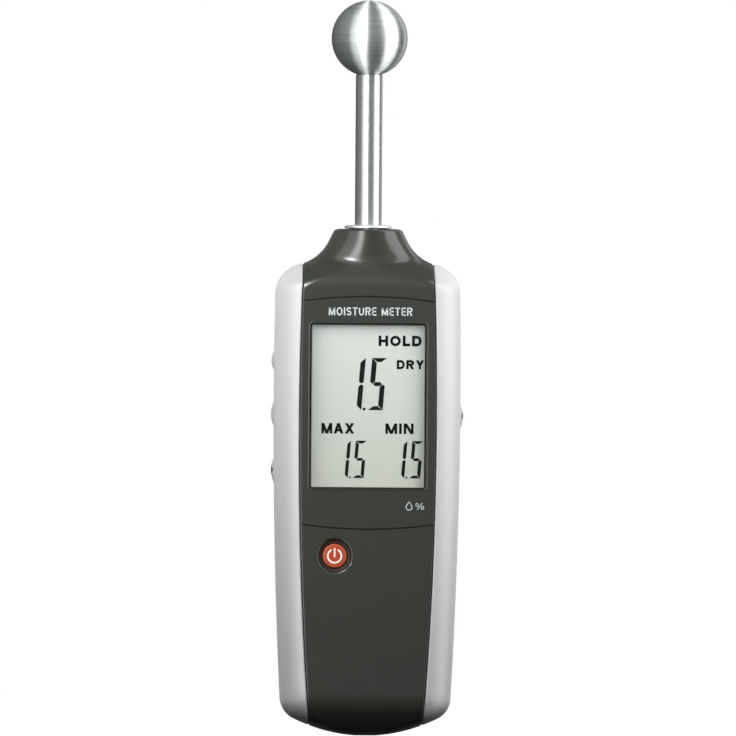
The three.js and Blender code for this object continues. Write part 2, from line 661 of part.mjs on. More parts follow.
// ---------------------------------------------------------------- screws

for (const { name, x, z } of CASE_SCREWS) {
  const screw = join(rod("y", x, z, 1.3, -4, 11, 10), rod("y", x, z, 2.6, 10.7, 12.5, 16));
  piece(`case_screw_${name}`, screw, MATERIALS.brightSteel);
}
for (const { name, x, z } of BOARD_SCREWS) {
  const shank = rod("y", x, z, 0.85, -10.6, ON_BOARD + 0.5, 8);
  const screw = join(shank, rod("y", x, z, 1.7, ON_BOARD, ON_BOARD + 1.1, 12));
  piece(`board_screw_${name}`, screw, MATERIALS.brightSteel);
}

export default meter;
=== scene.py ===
"""A hand-held moisture meter with a ball probe: the looks around its frame.

Shapes are drawn in millimetres, with z = 0 at the casing's bottom tip and y = 0 at the parting plane of the
two covers. They go into the frame's metres as each mesh is made."""

import json
import math
import random

import bmesh
import bpy
import numpy as np
from mathutils import Matrix, Quaternion, Vector

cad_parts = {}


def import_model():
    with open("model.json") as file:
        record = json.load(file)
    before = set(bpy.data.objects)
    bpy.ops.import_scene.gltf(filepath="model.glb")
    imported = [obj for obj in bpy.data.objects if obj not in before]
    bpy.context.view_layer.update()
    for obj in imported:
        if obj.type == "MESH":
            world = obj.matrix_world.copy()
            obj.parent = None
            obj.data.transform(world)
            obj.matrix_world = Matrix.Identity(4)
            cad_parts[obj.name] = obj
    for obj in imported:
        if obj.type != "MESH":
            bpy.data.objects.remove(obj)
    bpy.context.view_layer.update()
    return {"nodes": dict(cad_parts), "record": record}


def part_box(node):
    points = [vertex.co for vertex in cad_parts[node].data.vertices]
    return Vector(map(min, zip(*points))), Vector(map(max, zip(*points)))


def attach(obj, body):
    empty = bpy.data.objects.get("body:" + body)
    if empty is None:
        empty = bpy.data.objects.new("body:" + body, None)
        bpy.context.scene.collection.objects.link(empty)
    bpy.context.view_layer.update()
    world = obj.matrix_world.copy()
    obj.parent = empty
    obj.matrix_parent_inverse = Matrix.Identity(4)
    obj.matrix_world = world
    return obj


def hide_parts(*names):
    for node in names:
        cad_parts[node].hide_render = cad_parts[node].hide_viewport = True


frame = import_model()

ORIGIN = np.array([0.0, 14.0, 100.0])  # the frame's origin, on the flat back
FRONT, BACK = (0, -1, 0), (0, 1, 0)


def cad(node):
    """Lowest and highest corner of a node, in the units and axes that shapes are drawn in."""
    return [np.array(corner) * 1000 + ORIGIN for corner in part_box(node)]


def centre(node):
    low, high = cad(node)
    return (low + high) / 2


# ---------------- driving dimensions

HALF_DEPTH = 14.0
NECK_TOP = 162.0
TIP_RADIUS, TIP_FLAT = 50.5, 0.16
FOOT_X, FOOT_Z, FOOT_RADIUS = 19.75, 12.3, 7.5
SIDE_WIDEST, SIDE_AT, SIDE_RADIUS = 29.75, 108.0, 1832.0
SHOULDER_X, SHOULDER_Z, SHOULDER_RADIUS = 19.85, 141.3, 9.6
FLARE_RADIUS, FLARE_START, FLARE_SLOPE = 14.0, math.radians(77), 0.5
FLARE_X = SHOULDER_X + (SHOULDER_RADIUS + FLARE_RADIUS) * math.cos(FLARE_START)
FLARE_Z = SHOULDER_Z + (SHOULDER_RADIUS + FLARE_RADIUS) * math.sin(FLARE_START)
CONE_ANGLE = math.atan(FLARE_SLOPE)
NECK_DEPTH, NECK_EDGE, NECK_FROM, NECK_TO = 11.05, 0.8, 143.5, 153.5
NECK_RINGS = [(NECK_TOP, radius) for radius in (9.4, 8.6, 7.6, 6.4)]  # across the neck's flat end
FRONT_CURL, BACK_CURL = 14.0, 8.0
CORNER, ROUND_FROM, ROUND_TO = 9.0, 141.3, 151.5
OVAL_FROM, OVAL_TO = 143.5, 152.5
SEAM_HALF, SEAM_AT, SEAM_RADIUS = 21.8, 100.0, 1250.0
SEAM_CLEARANCE = 0.2
PARTING = 0.12  # from the parting plane to either cover
BEZEL_LOW, BEZEL_HIGH, BEZEL_RADIUS = 66.3, 140.1, 145.0
BEZEL_SUNK = 0.12  # the bezel lies this far below the covers
ABOVE_BEZEL, BELOW_BEZEL = BEZEL_HIGH + 0.3, BEZEL_LOW - 0.3  # where the covers end, in the middle
WINDOW_HALF, WINDOW_LOW, WINDOW_HIGH, WINDOW_CORNER = 18.55, 79.1, 131.8, 0.9
WINDOW_MIDDLE = (0, (WINDOW_LOW + WINDOW_HIGH) / 2)
WINDOW_HALVES = (WINDOW_HALF, (WINDOW_HIGH - WINDOW_LOW) / 2)
BOW_FROM, BOW_TO = 30.0, 147.0  # between these heights, the covers' rows bend along with the bezel's seams
WALL, NECK_WALL, THIN_FROM, THIN_TO = 2.9, 0.6, 156.0, 160.0
SKIN, UNDER_SKIN = 1.4, 1.7
EDGE, SIDE_EDGE, BEZEL_EDGE, DOOR_EDGE = 0.17, 0.42, 0.25, 0.25  # how far edges are rounded
BORE = 4.15  # radius of the opening for the power button
FLANGE = 0.9  # of a side button, inside the casing
DOME = 2.2  # how a side button's crest falls off: the power of the distance from its middle
BAY_X, BAY_Z, BAY_AT, BAY_CORNER = 13.7, 26.3, 32.0, 1.2
DOOR_LIP = 1.3  # how far the door's tongue reaches into its grooves
AHEAD, WITHIN, BEHIND = -20, -9, 20  # where cuts end: before the casing, past its front wall, and behind it
BATTERY_CORNER = 1.8

FILLET_STEPS = (0.0, 0.07, 0.2, 0.4, 0.68, 1.0)  # places across a rounded edge, as shares of its radius


# ---------------- the casing's form


def arc(radius, rise):
    return math.sqrt(max(0.0, radius * radius - rise * rise))


def smooth(value, low, high):
    share = min(1.0, max(0.0, (value - low) / (high - low)))
    return share * share * (3 - 2 * share)


def half_width(z):
    """Half the casing's width at a height: arcs that run into each other, from the tip to the neck."""
    tip_top = TIP_RADIUS - TIP_RADIUS * (TIP_RADIUS - FOOT_Z) / (TIP_RADIUS - FOOT_RADIUS)
    foot_top = FOOT_Z - FOOT_RADIUS * (SIDE_AT - FOOT_Z) / SIDE_RADIUS
    flare_from = SHOULDER_Z + SHOULDER_RADIUS * math.sin(FLARE_START)
    cone_from = FLARE_Z - FLARE_RADIUS * math.sin(CONE_ANGLE)
    if z < tip_top:
        return arc(TIP_RADIUS, TIP_RADIUS - z)
    if z < foot_top:
        return FOOT_X + arc(FOOT_RADIUS, FOOT_Z - z)
    if z < SHOULDER_Z:
        return SIDE_WIDEST - (z - SIDE_AT) ** 2 / (2 * SIDE_RADIUS)
    if z < flare_from:
        return SHOULDER_X + arc(SHOULDER_RADIUS, z - SHOULDER_Z)
    if z < cone_from:
        return FLARE_X - arc(FLARE_RADIUS, FLARE_Z - z)
    cone = FLARE_X - FLARE_RADIUS * math.cos(CONE_ANGLE) - FLARE_SLOPE * (z - cone_from)
    edge = z - (NECK_TOP - NECK_EDGE)
    return cone - NECK_EDGE + arc(NECK_EDGE, edge) if edge > 0 else cone


def half_depth(z, curl):
    """From the parting plane to the front or the back, whichever curls in to the tip on that radius."""
    if z < curl:
        return HALF_DEPTH - curl + arc(curl, curl - z)
    depth = HALF_DEPTH + (NECK_DEPTH - HALF_DEPTH) * smooth(z, NECK_FROM, NECK_TO)
    return min(depth, half_width(z))


def seam(z):
    """Half the width of the dark middle at a height."""
    return SEAM_HALF - (z - SEAM_AT) ** 2 / (2 * SEAM_RADIUS)


def bow(x):
    """How far the bezel's curved seams have bent towards the bezel's middle, at a distance from it."""
    return x * x / (2 * BEZEL_RADIUS)


class Section:
    """Half of the casing's cross-section at one height: the front half or the back half."""

    def __init__(self, z, back, ring=None):
        self.z = z
        self.sign = 1 if back else -1
        self.width = ring or half_width(z)
        self.depth = ring or half_depth(z, BACK_CURL if back else FRONT_CURL)
        share = smooth(z, ROUND_FROM, ROUND_TO)
        radius = CORNER + (self.depth - CORNER) * share
        self.radius = min(radius, self.depth, self.width)
        self.across = self.radius + (self.width - self.radius) * smooth(z, OVAL_FROM, OVAL_TO)
        self.flat = self.width - self.across
        self.pace = (self.radius + self.across) / 2

    def from_middle(self, s):
        """The point at a length s along the surface from its middle, to the right where s is positive."""
        length = abs(s)
        turn = (length - self.flat) / self.pace
        if turn <= 0:
            x, y = length, self.depth
        elif turn <= math.pi / 2:
            x = self.flat + self.across * math.sin(turn)
            y = self.depth - self.radius * (1 - math.cos(turn))
        else:
            x = self.width
            y = self.depth - self.radius - self.pace * (turn - math.pi / 2)
        return math.copysign(x, s), self.sign * y, self.z

    def reach_from_middle(self):
        """How far the dark middle reaches: to the seam, or to the parting plane where there is no seam."""
        limit = seam(self.z) - SEAM_CLEARANCE
        if limit < self.width:
            share = (limit - self.flat) / self.across
            return limit if share <= 0 else self.flat + self.pace * math.asin(share)
        straight = self.depth - self.radius - PARTING
        if straight >= 0:
            return self.flat + self.pace * math.pi / 2 + straight
        return self.flat + self.pace * math.acos(min(1.0, -straight / self.radius))

    def from_side(self, q):
        """The point at a length q from the middle of the right side, towards the front or the back."""
        straight = self.depth - self.radius
        turn = (q - straight) / self.pace
        if turn <= 0:
            return self.width, self.sign * q, self.z
        x = self.flat + self.across * math.cos(turn)
        return x, self.sign * (straight + self.radius * math.sin(turn)), self.z

    def reach_from_side(self):
        """How far a side shell reaches round to the seam."""
        share = min(1.0, max(0.0, (seam(self.z) + SEAM_CLEARANCE - self.flat) / self.across))
        return self.depth - self.radius + self.pace * math.acos(share)


def solve(function, low, high):
    """The place between low and high where a function that changes sign there is zero."""
    rising = function(high) > 0
    for _ in range(50):
        middle = (low + high) / 2
        if (function(middle) > 0) == rising:
            high = middle
        else:
            low = middle
    return (low + high) / 2


def spread(low, high, edge, count):
    """Places from low to high: close together within edge of both ends, with count steps between them."""
    edge = min(edge, (high - low) * 0.3)
    ends = [edge * share for share in FILLET_STEPS]
    inner = np.linspace(low + edge, high - edge, count + 1)[1:-1]
    return [*(low + e for e in ends), *inner, *(high - e for e in reversed(ends))]


def heights(low, high, edge_low, edge_high, turn, longest=3.0):
    """Heights for the rows of a patch: one for each turn of the outline or the depth, in degrees, and none
    further apart than longest."""
    zs = np.linspace(low, high, 4001)
    weight = np.full(len(zs) - 1, (zs[1] - zs[0]) / longest)
    for curve in (half_width, lambda z: half_depth(z, FRONT_CURL), lambda z: half_depth(z, BACK_CURL)):
        slope = np.arctan(np.diff([curve(z) for z in zs]) / np.diff(zs))
        weight[1:] += np.abs(np.diff(slope)) / math.radians(turn)
    total = np.concatenate([[0], np.cumsum(weight)])
    places = np.linspace(0, total[-1], math.ceil(total[-1]) + 1)
    middle = [z for z in np.interp(places, total, zs) if low + edge_low < z < high - edge_high]
    middle = [z for z, before in zip(middle, [low - 1, *middle]) if z - before > 0.03]
    first = [low + edge_low * share for share in FILLET_STEPS] if edge_low else [low]
    last = [high - edge_high * share for share in reversed(FILLET_STEPS)] if edge_high else [high]
    return [*first, *middle, *last]


# ---------------- meshes


def add(name, points, faces):
    """A closed mesh from points in millimetres, with its faces turned to look out."""
    mesh = bpy.data.meshes.new(name)
    mesh.from_pydata((np.asarray(points, float) - ORIGIN) / 1000, [], [tuple(f) for f in faces])
    mesh.validate()
    shape = bmesh.new()
    shape.from_mesh(mesh)
    bmesh.ops.remove_doubles(shape, verts=shape.verts, dist=1e-7)
    bmesh.ops.recalc_face_normals(shape, faces=shape.faces)
    shape.to_mesh(mesh)
    shape.free()
    return link_object(name, mesh)


def link_object(name, data):
    made = bpy.data.objects.new(name, data)
    bpy.context.scene.collection.objects.link(made)
    return made


def circle(count):
    """Cosines and sines all round."""
    angles = [2 * math.pi * i / count for i in range(count)]
    return [(math.cos(angle), math.sin(angle)) for angle in angles]


def quarter(steps):
    """Angles from 0 to a quarter turn, without the first."""
    return [i / steps * math.pi / 2 for i in range(1, steps + 1)]


def grid_faces(rows, columns, first=0, round_rows=False, round_columns=False):
    """The quads of a grid of points. Where it runs round, its last points join its first."""
    faces = []
    for r in range(rows if round_rows else rows - 1):
        for c in range(columns if round_columns else columns - 1):
            up, right = (r + 1) % rows, (c + 1) % columns
            corners = ((r, c), (r, right), (up, right), (up, c))
            faces.append([first + row * columns + column for row, column in corners])
    return faces


def surface_normals(grid, outward):
    """Unit normals of a grid of points, turned to the side that outward points to."""
    along_rows, along_columns = np.gradient(grid, axis=0), np.gradient(grid, axis=1)
    normals = np.cross(along_rows, along_columns)
    normals /= np.maximum(np.linalg.norm(normals, axis=2, keepdims=True), 1e-12)
    return normals if (normals * outward).sum() > 0 else -normals


def plate(name, grid, edge, depth, fillet, outward, sunk=0.0):
    """A closed plate that lies under a patch of the casing's surface, with rounded edges. edge gives how far
    each point is from the patch's border."""
    rows, columns, _ = grid.shape
    normals = surface_normals(grid, outward)
    inside = fillet - np.clip(edge, 0, fillet)
    drop = sunk + fillet - np.sqrt(fillet * fillet - inside * inside)
    outer = grid - normals * drop[..., None]
    inner = grid - normals * np.broadcast_to(depth, edge.shape)[..., None]
    points = np.concatenate([outer.reshape(-1, 3), inner.reshape(-1, 3)])
    count = rows * columns
    faces = grid_faces(rows, columns) + grid_faces(rows, columns, count)
    border = [
        *range(columns),
        *(r * columns + columns - 1 for r in range(1, rows)),
        *(count - 2 - c for c in range(columns - 1)),
        *(r * columns for r in range(rows - 2, 0, -1)),
    ]
    for a, b in zip(border, border[1:] + border[:1]):
        faces.append((a, a + count, b + count, b))
    return add(name, points, faces)


def loft(name, outlines, closed=False):
    """A closed solid through outlines with the same number of points; closed joins the last to the first."""
    rows, columns = len(outlines), len(outlines[0])
    faces = grid_faces(rows, columns, round_rows=closed, round_columns=True)
    if not closed:
        faces.append(list(reversed(range(columns))))
        faces.append([(rows - 1) * columns + c for c in range(columns)])
    return add(name, [point for outline in outlines for point in outline], faces)


def rounded_rect(half_x, half_z, radius, y, middle=(0, 0), steps=8):
    """A rounded rectangle in a plane of constant y."""
    points = []
    for corner, (side_x, side_z) in enumerate(((1, 1), (-1, 1), (-1, -1), (1, -1))):
        for i in range(steps + 1):
            angle = (corner + i / steps) * math.pi / 2
            x = middle[0] + side_x * (half_x - radius) + radius * math.cos(angle)
            z = middle[1] + side_z * (half_z - radius) + radius * math.sin(angle)
            points.append((x, y, z))
    return points


def levels(name, half_x, half_z, radius, steps, middle=(0, 0), closed=False):
    """A loft of rounded rectangles: each step is (how much larger than the nominal one, its y)."""
    outlines = []
    for grow, y in steps:
        outlines.append(rounded_rect(half_x + grow, half_z + grow, max(0.02, radius + grow), y, middle))
    return loft(name, outlines, closed)


def lathe(name, profile, middle, axis, segments, closed=False):
    """A solid of revolution from (radius, height) points that start and end on the axis, or a ring from the
    points of a closed profile."""
    outlines = []
    for radius, height in profile:
        ring = []
        for c, s in circle(segments):
            a, b = max(radius, 1e-4) * c, max(radius, 1e-4) * s
            ring.append(tuple(np.add(middle, (a, b, height) if axis == "z" else (a, height, b))))
        outlines.append(ring)
    return loft(name, outlines, closed)


def rounded(points, radii, steps=5):
    """A polyline with its inner corners rounded: radii has one number for each of them."""
    out = [points[0]]
    for before, here, after, radius in zip(points, points[1:], points[2:], radii):
        here = Vector(here)
        if radius <= 0:
            out.append(tuple(here))
            continue
        start = here + (Vector(before) - here).normalized() * radius
        end = here + (Vector(after) - here).normalized() * radius
        for i in range(steps + 1):
            t = i / steps
            out.append(tuple(start * (1 - t) ** 2 + here * 2 * t * (1 - t) + end * t * t))
    return [*out, points[-1]]


def evaluated_mesh(piece):
    graph = bpy.context.evaluated_depsgraph_get()
    return bpy.data.meshes.new_from_object(piece.evaluated_get(graph))


def apply_modifiers(piece):
    mesh, old = evaluated_mesh(piece), piece.data
    piece.modifiers.clear()
    piece.data = mesh
    mesh.name = piece.name
    bpy.data.meshes.remove(old)


def carve(piece, *cutters, keep=False):
    """Cuts shapes out of a piece, and removes them unless another piece needs them."""
    for cutter in cutters:
        modifier = piece.modifiers.new("cut", "BOOLEAN")
        modifier.operation = "DIFFERENCE"
        modifier.solver = "MANIFOLD"
        modifier.object = cutter
    apply_modifiers(piece)
    if not keep:
        for cutter in cutters:
            bpy.data.objects.remove(cutter)
    return piece


def merge(name, *pieces):
    """Joins pieces into one object."""
    bpy.ops.object.select_all(action="DESELECT")
    for piece in pieces:
        piece.select_set(True)
    bpy.context.view_layer.objects.active = pieces[0]
    bpy.ops.object.join()
    pieces[0].name = name
    pieces[0].data.name = name
    return pieces[0]


def done(piece, slot, *replaced, body="housing", material=None, smooth_shading=True):
    """Finishes a piece: its place in the frame, its own material or its slot's, and smooth shading that
    breaks at sharp edges and is weighted so that flat faces stay flat."""
    if smooth_shading:
        piece.data.shade_smooth()
        piece.data.set_sharp_from_angle(angle=math.radians(32))
        modifier = piece.modifiers.new("weights", "WEIGHTED_NORMAL")
        modifier.keep_sharp = True
        apply_modifiers(piece)
    piece.data.materials.clear()
    piece.data.materials.append(material or BY_SLOT[slot])
    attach(piece, body)
    if replaced:
        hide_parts(*replaced)


# ---------------- materials


class Nodes:
    """A node tree, with short ways to add to it."""

    def __init__(self, owner):
        owner.use_nodes = True
        self.tree = owner.node_tree

    def add(self, kind, **settings):
        """A new node. Each setting is a property of it, or else goes into one of its inputs."""
        node = self.tree.nodes.new(kind)
        for key, value in settings.items():
            if hasattr(node, key):
                setattr(node, key, value)
            else:
                self.feed(node, **{key: value})
        return node

    def feed(self, node, *numbered, **named):
        """Puts values or other nodes' outputs into a node's inputs."""
        for key, value in [*enumerate(numbered), *named.items()]:
            socket = node.inputs[key.replace("_", " ") if isinstance(key, str) else key]
            if isinstance(value, bpy.types.NodeSocket):
                self.tree.links.new(value, socket)
            else:
                socket.default_value = value

    def ramp(self, source, *stops, interpolation="LINEAR"):
        node = self.add("ShaderNodeValToRGB", Fac=source)
        elements = node.color_ramp.elements
        while len(elements) < len(stops):
            elements.new(0.5)
        for element, (place, colour) in zip(elements, stops):
            element.position = place
            element.color = (*colour, 1)
        node.color_ramp.interpolation = interpolation
        return node.outputs["Color"]

    def mapped(self, source, **limits):
        """A value, moved from one range to another."""
        return self.add("ShaderNodeMapRange", Value=source, **limits).outputs["Result"]

    def parts(self, vector):
        return self.add("ShaderNodeSeparateXYZ", Vector=vector).outputs


class Surface(Nodes):
    """A material: noises and ramps that drive one shader."""

    def __init__(self, name):
        self.material = bpy.data.materials.new(name)
        super().__init__(self.material)
        self.shader = self.tree.nodes["Principled BSDF"]
        self.coordinates = self.add("ShaderNodeTexCoord").outputs["Object"]

    def noise(self, scale, detail, roughness=0.5, stretch=(1, 1, 1)):
        place = self.add("ShaderNodeMapping", Vector=self.coordinates, Scale=stretch).outputs["Vector"]
        settings = {"Vector": place, "Scale": scale, "Detail": detail, "Roughness": roughness}
        return self.add("ShaderNodeTexNoise", **settings).outputs["Fac"]

    def up(self, node):
        """0 to 1 from the lowest to the highest point of a frame node."""
        low, high = ((corner - ORIGIN)[2] / 1000 for corner in cad(node))
        return self.mapped(self.parts(self.coordinates)["Z"], From_Min=low, From_Max=high)

    def colour(self, source, *stops, **settings):
        self.feed(self.shader, Base_Color=self.ramp(source, *stops, **settings))

    def roughness(self, source, low, high):
        self.feed(self.shader, Roughness=self.mapped(source, To_Min=low, To_Max=high))

    def bump(self, source, height):
        """A bump of a real height in millimetres."""
        node = self.add("ShaderNodeBump", Height=source, Strength=1.0, Distance=height / 1000)
        self.feed(self.shader, Normal=node.outputs["Normal"])

    def finish(self, **values):
        """Sets the shader's other inputs, and gives the finished material."""
        self.feed(self.shader, **values)
        return self.material


def linear(r, g, b):
    """A colour from 0 to 255 as the eye sees it, in the renderer's linear light."""
    values = (c / 255 for c in (r, g, b))
    return tuple(c / 12.92 if c < 0.04045 else ((c + 0.055) / 1.055) ** 2.4 for c in values)


def mottle(rgb, amount, margin=0.3):
    """Stops from a darker to a lighter shade of a colour."""
    dark, light = (linear(*(min(255, c * k) for c in rgb)) for k in (1 - amount, 1 + amount))
    return (margin, dark), (1 - margin, light)


def moulded(name, rgb, rough, grain=0.0013, vary=0.03, specular=0.5):
    """Moulded plastic with a fine spark-eroded grain and faint flow marks."""
    surface = Surface(name)
    surface.colour(surface.noise(90, 4), *mottle(rgb, vary))
    surface.roughness(surface.noise(700, 3), rough - 0.02, rough + 0.02)
    surface.bump(surface.noise(5200, 2, 0.6), grain)
    return surface.finish(Specular_IOR_Level=specular)


def painted(name, rgb, rough):
    """Silver-grey paint: tiny flakes under a satin lacquer."""
    surface = Surface(name)
    surface.colour(surface.noise(4200, 2, 0.7), *mottle(rgb, 0.018, 0.35))
    surface.roughness(surface.noise(350, 3), rough - 0.03, rough + 0.04)
    surface.bump(surface.noise(1500, 2), 0.0012)
    return surface.finish(Metallic=0.04, Specular_IOR_Level=0.35, Coat_Weight=0.05, Coat_Roughness=0.3)


def turned_steel(name, rgb, rough):
    """Steel finished on a lathe: fine marks run round it, and spread its highlights along it."""
    surface = Surface(name)
    marks = surface.noise(60, 6, 0.7, stretch=(1, 1, 60))
    surface.colour(marks, *mottle(rgb, 0.12))
    surface.roughness(marks, rough - 0.05, rough + 0.08)
    surface.bump(surface.noise(110, 8, 0.75, stretch=(1, 1, 110)), 0.004)
    round_z = surface.add("ShaderNodeTangent", direction_type="RADIAL", axis="Z").outputs["Tangent"]
    return surface.finish(Metallic=1.0, Anisotropic=0.95, Anisotropic_Rotation=0.25, Tangent=round_z)


def plated(name, rgb, rough):
    surface = Surface(name)
    surface.colour(surface.noise(500, 4), *mottle(rgb, 0.05))
    surface.roughness(surface.noise(900, 4), rough - 0.05, rough + 0.1)
    return surface.finish(Metallic=1.0)


def printed(name, rgb, rough=0.5, specular=0.5):
    """Ink: a thin even film with a faint mottle."""
    surface = Surface(name)
    surface.colour(surface.noise(900, 2), *mottle(rgb, 0.02))
    surface.roughness(surface.noise(600, 2), rough - 0.04, rough + 0.04)
    return surface.finish(Specular_IOR_Level=specular)


def clear(name):
    """Clear acrylic: it shows what is behind it, and mirrors a little."""
    surface = Surface(name)
    surface.colour(surface.noise(40, 2), (0.3, (0.018, 0.023, 0.02)), (0.7, (0.023, 0.028, 0.025)))
    surface.roughness(surface.noise(200, 3), 0.04, 0.08)
    return surface.finish(Alpha=0.06)


def display(name):
    """The display's reflector: pale grey green, a little warmer towards its foot, and lighter towards its
    head: painted light that lifts the shade the bezel casts along its top.
    """
    surface = Surface(name)
    # painted light: the head's colour is lighter to lift the bezel's shade there
    surface.colour(surface.up("lcd_panel"), (0.0, linear(220, 224, 212)), (1.0, linear(226, 233, 228)))
    surface.roughness(surface.noise(3000, 2), 0.4, 0.5)
    surface.bump(surface.noise(9000, 1), 0.0005)
    return surface.finish(Specular_IOR_Level=0.15)


def orange_button(name, middle):
    """The power button's orange, redder towards its middle."""
    surface = Surface(name)
    distance = surface.add("ShaderNodeVectorMath", operation="DISTANCE")
    surface.feed(distance, surface.coordinates, middle)
    red, orange = linear(190, 56, 25), linear(182, 84, 40)
    share = surface.mapped(distance.outputs["Value"], From_Max=0.0042)
    surface.colour(share, (0.3, red), (0.62, red), (0.8, orange))
    surface.roughness(surface.noise(900, 3), 0.34, 0.42)
    surface.bump(surface.noise(4000, 2), 0.0008)
    return surface.finish(Specular_IOR_Level=0.25)


def jacket(name, rgb, band):
    """The battery's printed jacket: a plain colour with one lighter band."""
    surface = Surface(name)
    plain, lighter = linear(*rgb), linear(*band)
    stops = ((0.0, plain), (0.74, lighter), (0.97, plain))
    surface.colour(surface.up("battery"), *stops, interpolation="CONSTANT")
    surface.roughness(surface.noise(500, 3), 0.28, 0.36)
    return surface.finish(Metallic=0.35)


BY_SLOT = {
    "dark_plastic": moulded("dark_abs", (44, 47, 41), 0.21, grain=0.0003, vary=0.02),
    "silver_plastic": painted("silver_paint", (190, 191, 191), 0.46),
    "button_grey": moulded("button_grey", (176, 179, 181), 0.5, grain=0.001, specular=0.3),
    "black_plastic": moulded("black_abs", (26, 26, 26), 0.5),
    "white_plastic": moulded("white_nylon", (232, 231, 226), 0.45, grain=0.001),
    "rubber_black": moulded("black_rubber", (30, 30, 31), 0.75, grain=0.003),
    "circuit_board": moulded("solder_mask", (30, 92, 50), 0.3, grain=0.002),
    "red_wire": moulded("red_wire", (176, 34, 32), 0.4, grain=0.001),
    "yellow_wire": moulded("yellow_wire", (214, 172, 36), 0.4, grain=0.001),
    "brushed_steel": turned_steel("turned_steel", (196, 200, 200), 0.42),
    "bright_steel": plated("nickel_plate", (205, 206, 206), 0.25),
    "brass": plated("brass", (201, 165, 88), 0.3),
    "window_clear": clear("clear_acrylic"),
}
BY_SLOT["power_orange"] = BY_SLOT["button_grey"]
BY_SLOT["lcd_glass"] = BY_SLOT["white_plastic"]
BY_SLOT["battery_wrap"] = BY_SLOT["black_plastic"]

# Painted shade and painted reflection: a dark brown for the shade in the power button's well and the orange
# cap mirrored there.
WELL_SHADE_AND_REFLECTION = moulded("painted_well_shade_and_reflection", (36, 20, 13), 0.5, specular=0.2)
ZINC = plated("zinc_plate", (226, 227, 228), 0.45)
# Black tape ink, which also stands for the shade in the gap round the window: partly real tape, partly
# painted shade.
TAPE_AND_GAP_SHADE = printed("window_tape_and_gap_shade", (14, 14, 14), 0.6, specular=0.15)
# Painted shade: a grey for the bezel's shade down the display's left and right edges.
EDGE_SHADE_PAINT = printed("painted_display_edge_shade", (172, 178, 172), 0.5, specular=0.15)
SEGMENT = printed("display_segments", (13, 19, 16), 0.5, specular=0.06)
DARK_MARK = printed("dark_ink", (30, 30, 30))
PALE_MARK = printed("pale_ink", (200, 208, 208))
WHITE_MARK = printed("white_ink", (250, 244, 232))

# Every node that stays as it is gets its slot's material.
for entry in frame["record"]["subparts"]:
    node = frame["nodes"][entry["node"]]
    node.data.materials.clear()
    node.data.materials.append(BY_SLOT[entry["material_slot"]])


# ---------------- casing


def middle_rows(zs, back, bend=None, rings=()):
    """A grid over the front or back of the dark middle: a row at each height, and one on each ring. bend
    moves a row's points up or down along x."""
    rows = []
    for z, ring in [*((z, None) for z in zs), *rings]:
        section = Section(z, back, ring)
        reach = section.reach_from_middle()
        row = []
        for share in spread(-1, 1, 0.35 / reach, 84):
            point = section.from_middle(share * reach)
            for _ in range(3 if bend else 0):
                bent = Section(bend(z, point[0]), back)
                point = bent.from_middle(share * bent.reach_from_middle())
            row.append(point)
        rows.append(row)
    return np.array(rows)


def middle_edge(grid):
    """How far each point of the dark middle is from its side borders."""
    x, y, z = np.moveaxis(grid, -1, 0)
    return np.minimum(seam(z) - SEAM_CLEARANCE - np.abs(x), np.abs(y) - PARTING)


def wall(grid):
    """A cover's thickness for each row of a grid: thinner in the neck."""
    return np.array([[WALL - (WALL - NECK_WALL) * smooth(row[0][2], THIN_FROM, THIN_TO)] for row in grid])


def lower_front():
    zs = heights(TIP_FLAT, BELOW_BEZEL, 0, EDGE, turn=4)
    grid = middle_rows(zs, back=False, bend=lambda z, x: z + bow(x) * smooth(z, BOW_FROM, BELOW_BEZEL))
    top = BELOW_BEZEL + bow(grid[..., 0]) - grid[..., 2]
    made = plate("lower_front", grid, np.minimum(middle_edge(grid), top), WALL, EDGE, FRONT)
    x, _, z = centre("power_button")
    lip = [(5.95, AHEAD), (5.95, -14.1), (5.65, -14.0), (5.45, -13.9), (5.3, -13.74), (5.2, -13.5)]
    floor = [(5.1, -13.2), (4.25, -13.1), (BORE, -13.0), (BORE, WITHIN), (0, WITHIN)]
    return carve(made, lathe("dish", [(0, AHEAD), *lip, *floor], (x, 0, z), "y", 72))


def upper_front():
    zs = heights(ABOVE_BEZEL, NECK_TOP, EDGE, 0, turn=5)
    grid = middle_rows(zs, back=False, rings=NECK_RINGS)
    for row in grid:
        z = row[0][2]
        row[:, 2] -= bow(row[:, 0]) * (1 - smooth(z, ABOVE_BEZEL, BOW_TO))
    low = grid[..., 2] - ABOVE_BEZEL + bow(grid[..., 0])
    return plate("upper_front", grid, np.minimum(middle_edge(grid), low), wall(grid), EDGE, FRONT)


def under_layer(name, back):
    """The layer of a cover that lies under the side shells and the bezel."""
    rows = []
    for z in heights(TIP_FLAT, 158, 0, 0, turn=12, longest=8):
        section = Section(z, back)
        straight = section.depth - section.radius - PARTING
        reach = section.flat + section.pace * math.pi / 2 + max(0.0, straight)
        rows.append([section.from_middle(share * reach) for share in np.linspace(-1, 1, 61)])
    grid = np.array(rows)
    outward = BACK if back else FRONT
    base = grid - surface_normals(grid, outward) * UNDER_SKIN
    no_border = np.full(base.shape[:2], 9.0)
    return plate(name, base, no_border, WALL - UNDER_SKIN, 0.05, outward)


def front_cover():
    x, _, z = centre("power_button")
    profile = [(0, AHEAD), (BORE, AHEAD), (BORE, WITHIN), (0, WITHIN)]
    bore = lathe("bore", profile, (x, 0, z), "y", 48)
    opening = levels("opening", 20.2, 30, 1, [(0, AHEAD), (0, WITHIN)], middle=(0, 105.6))
    under = carve(under_layer("under_front", False), bore, opening)
    made = merge("front_cover_shell", lower_front(), upper_front(), under)
    done(made, "dark_plastic", "front_cover")


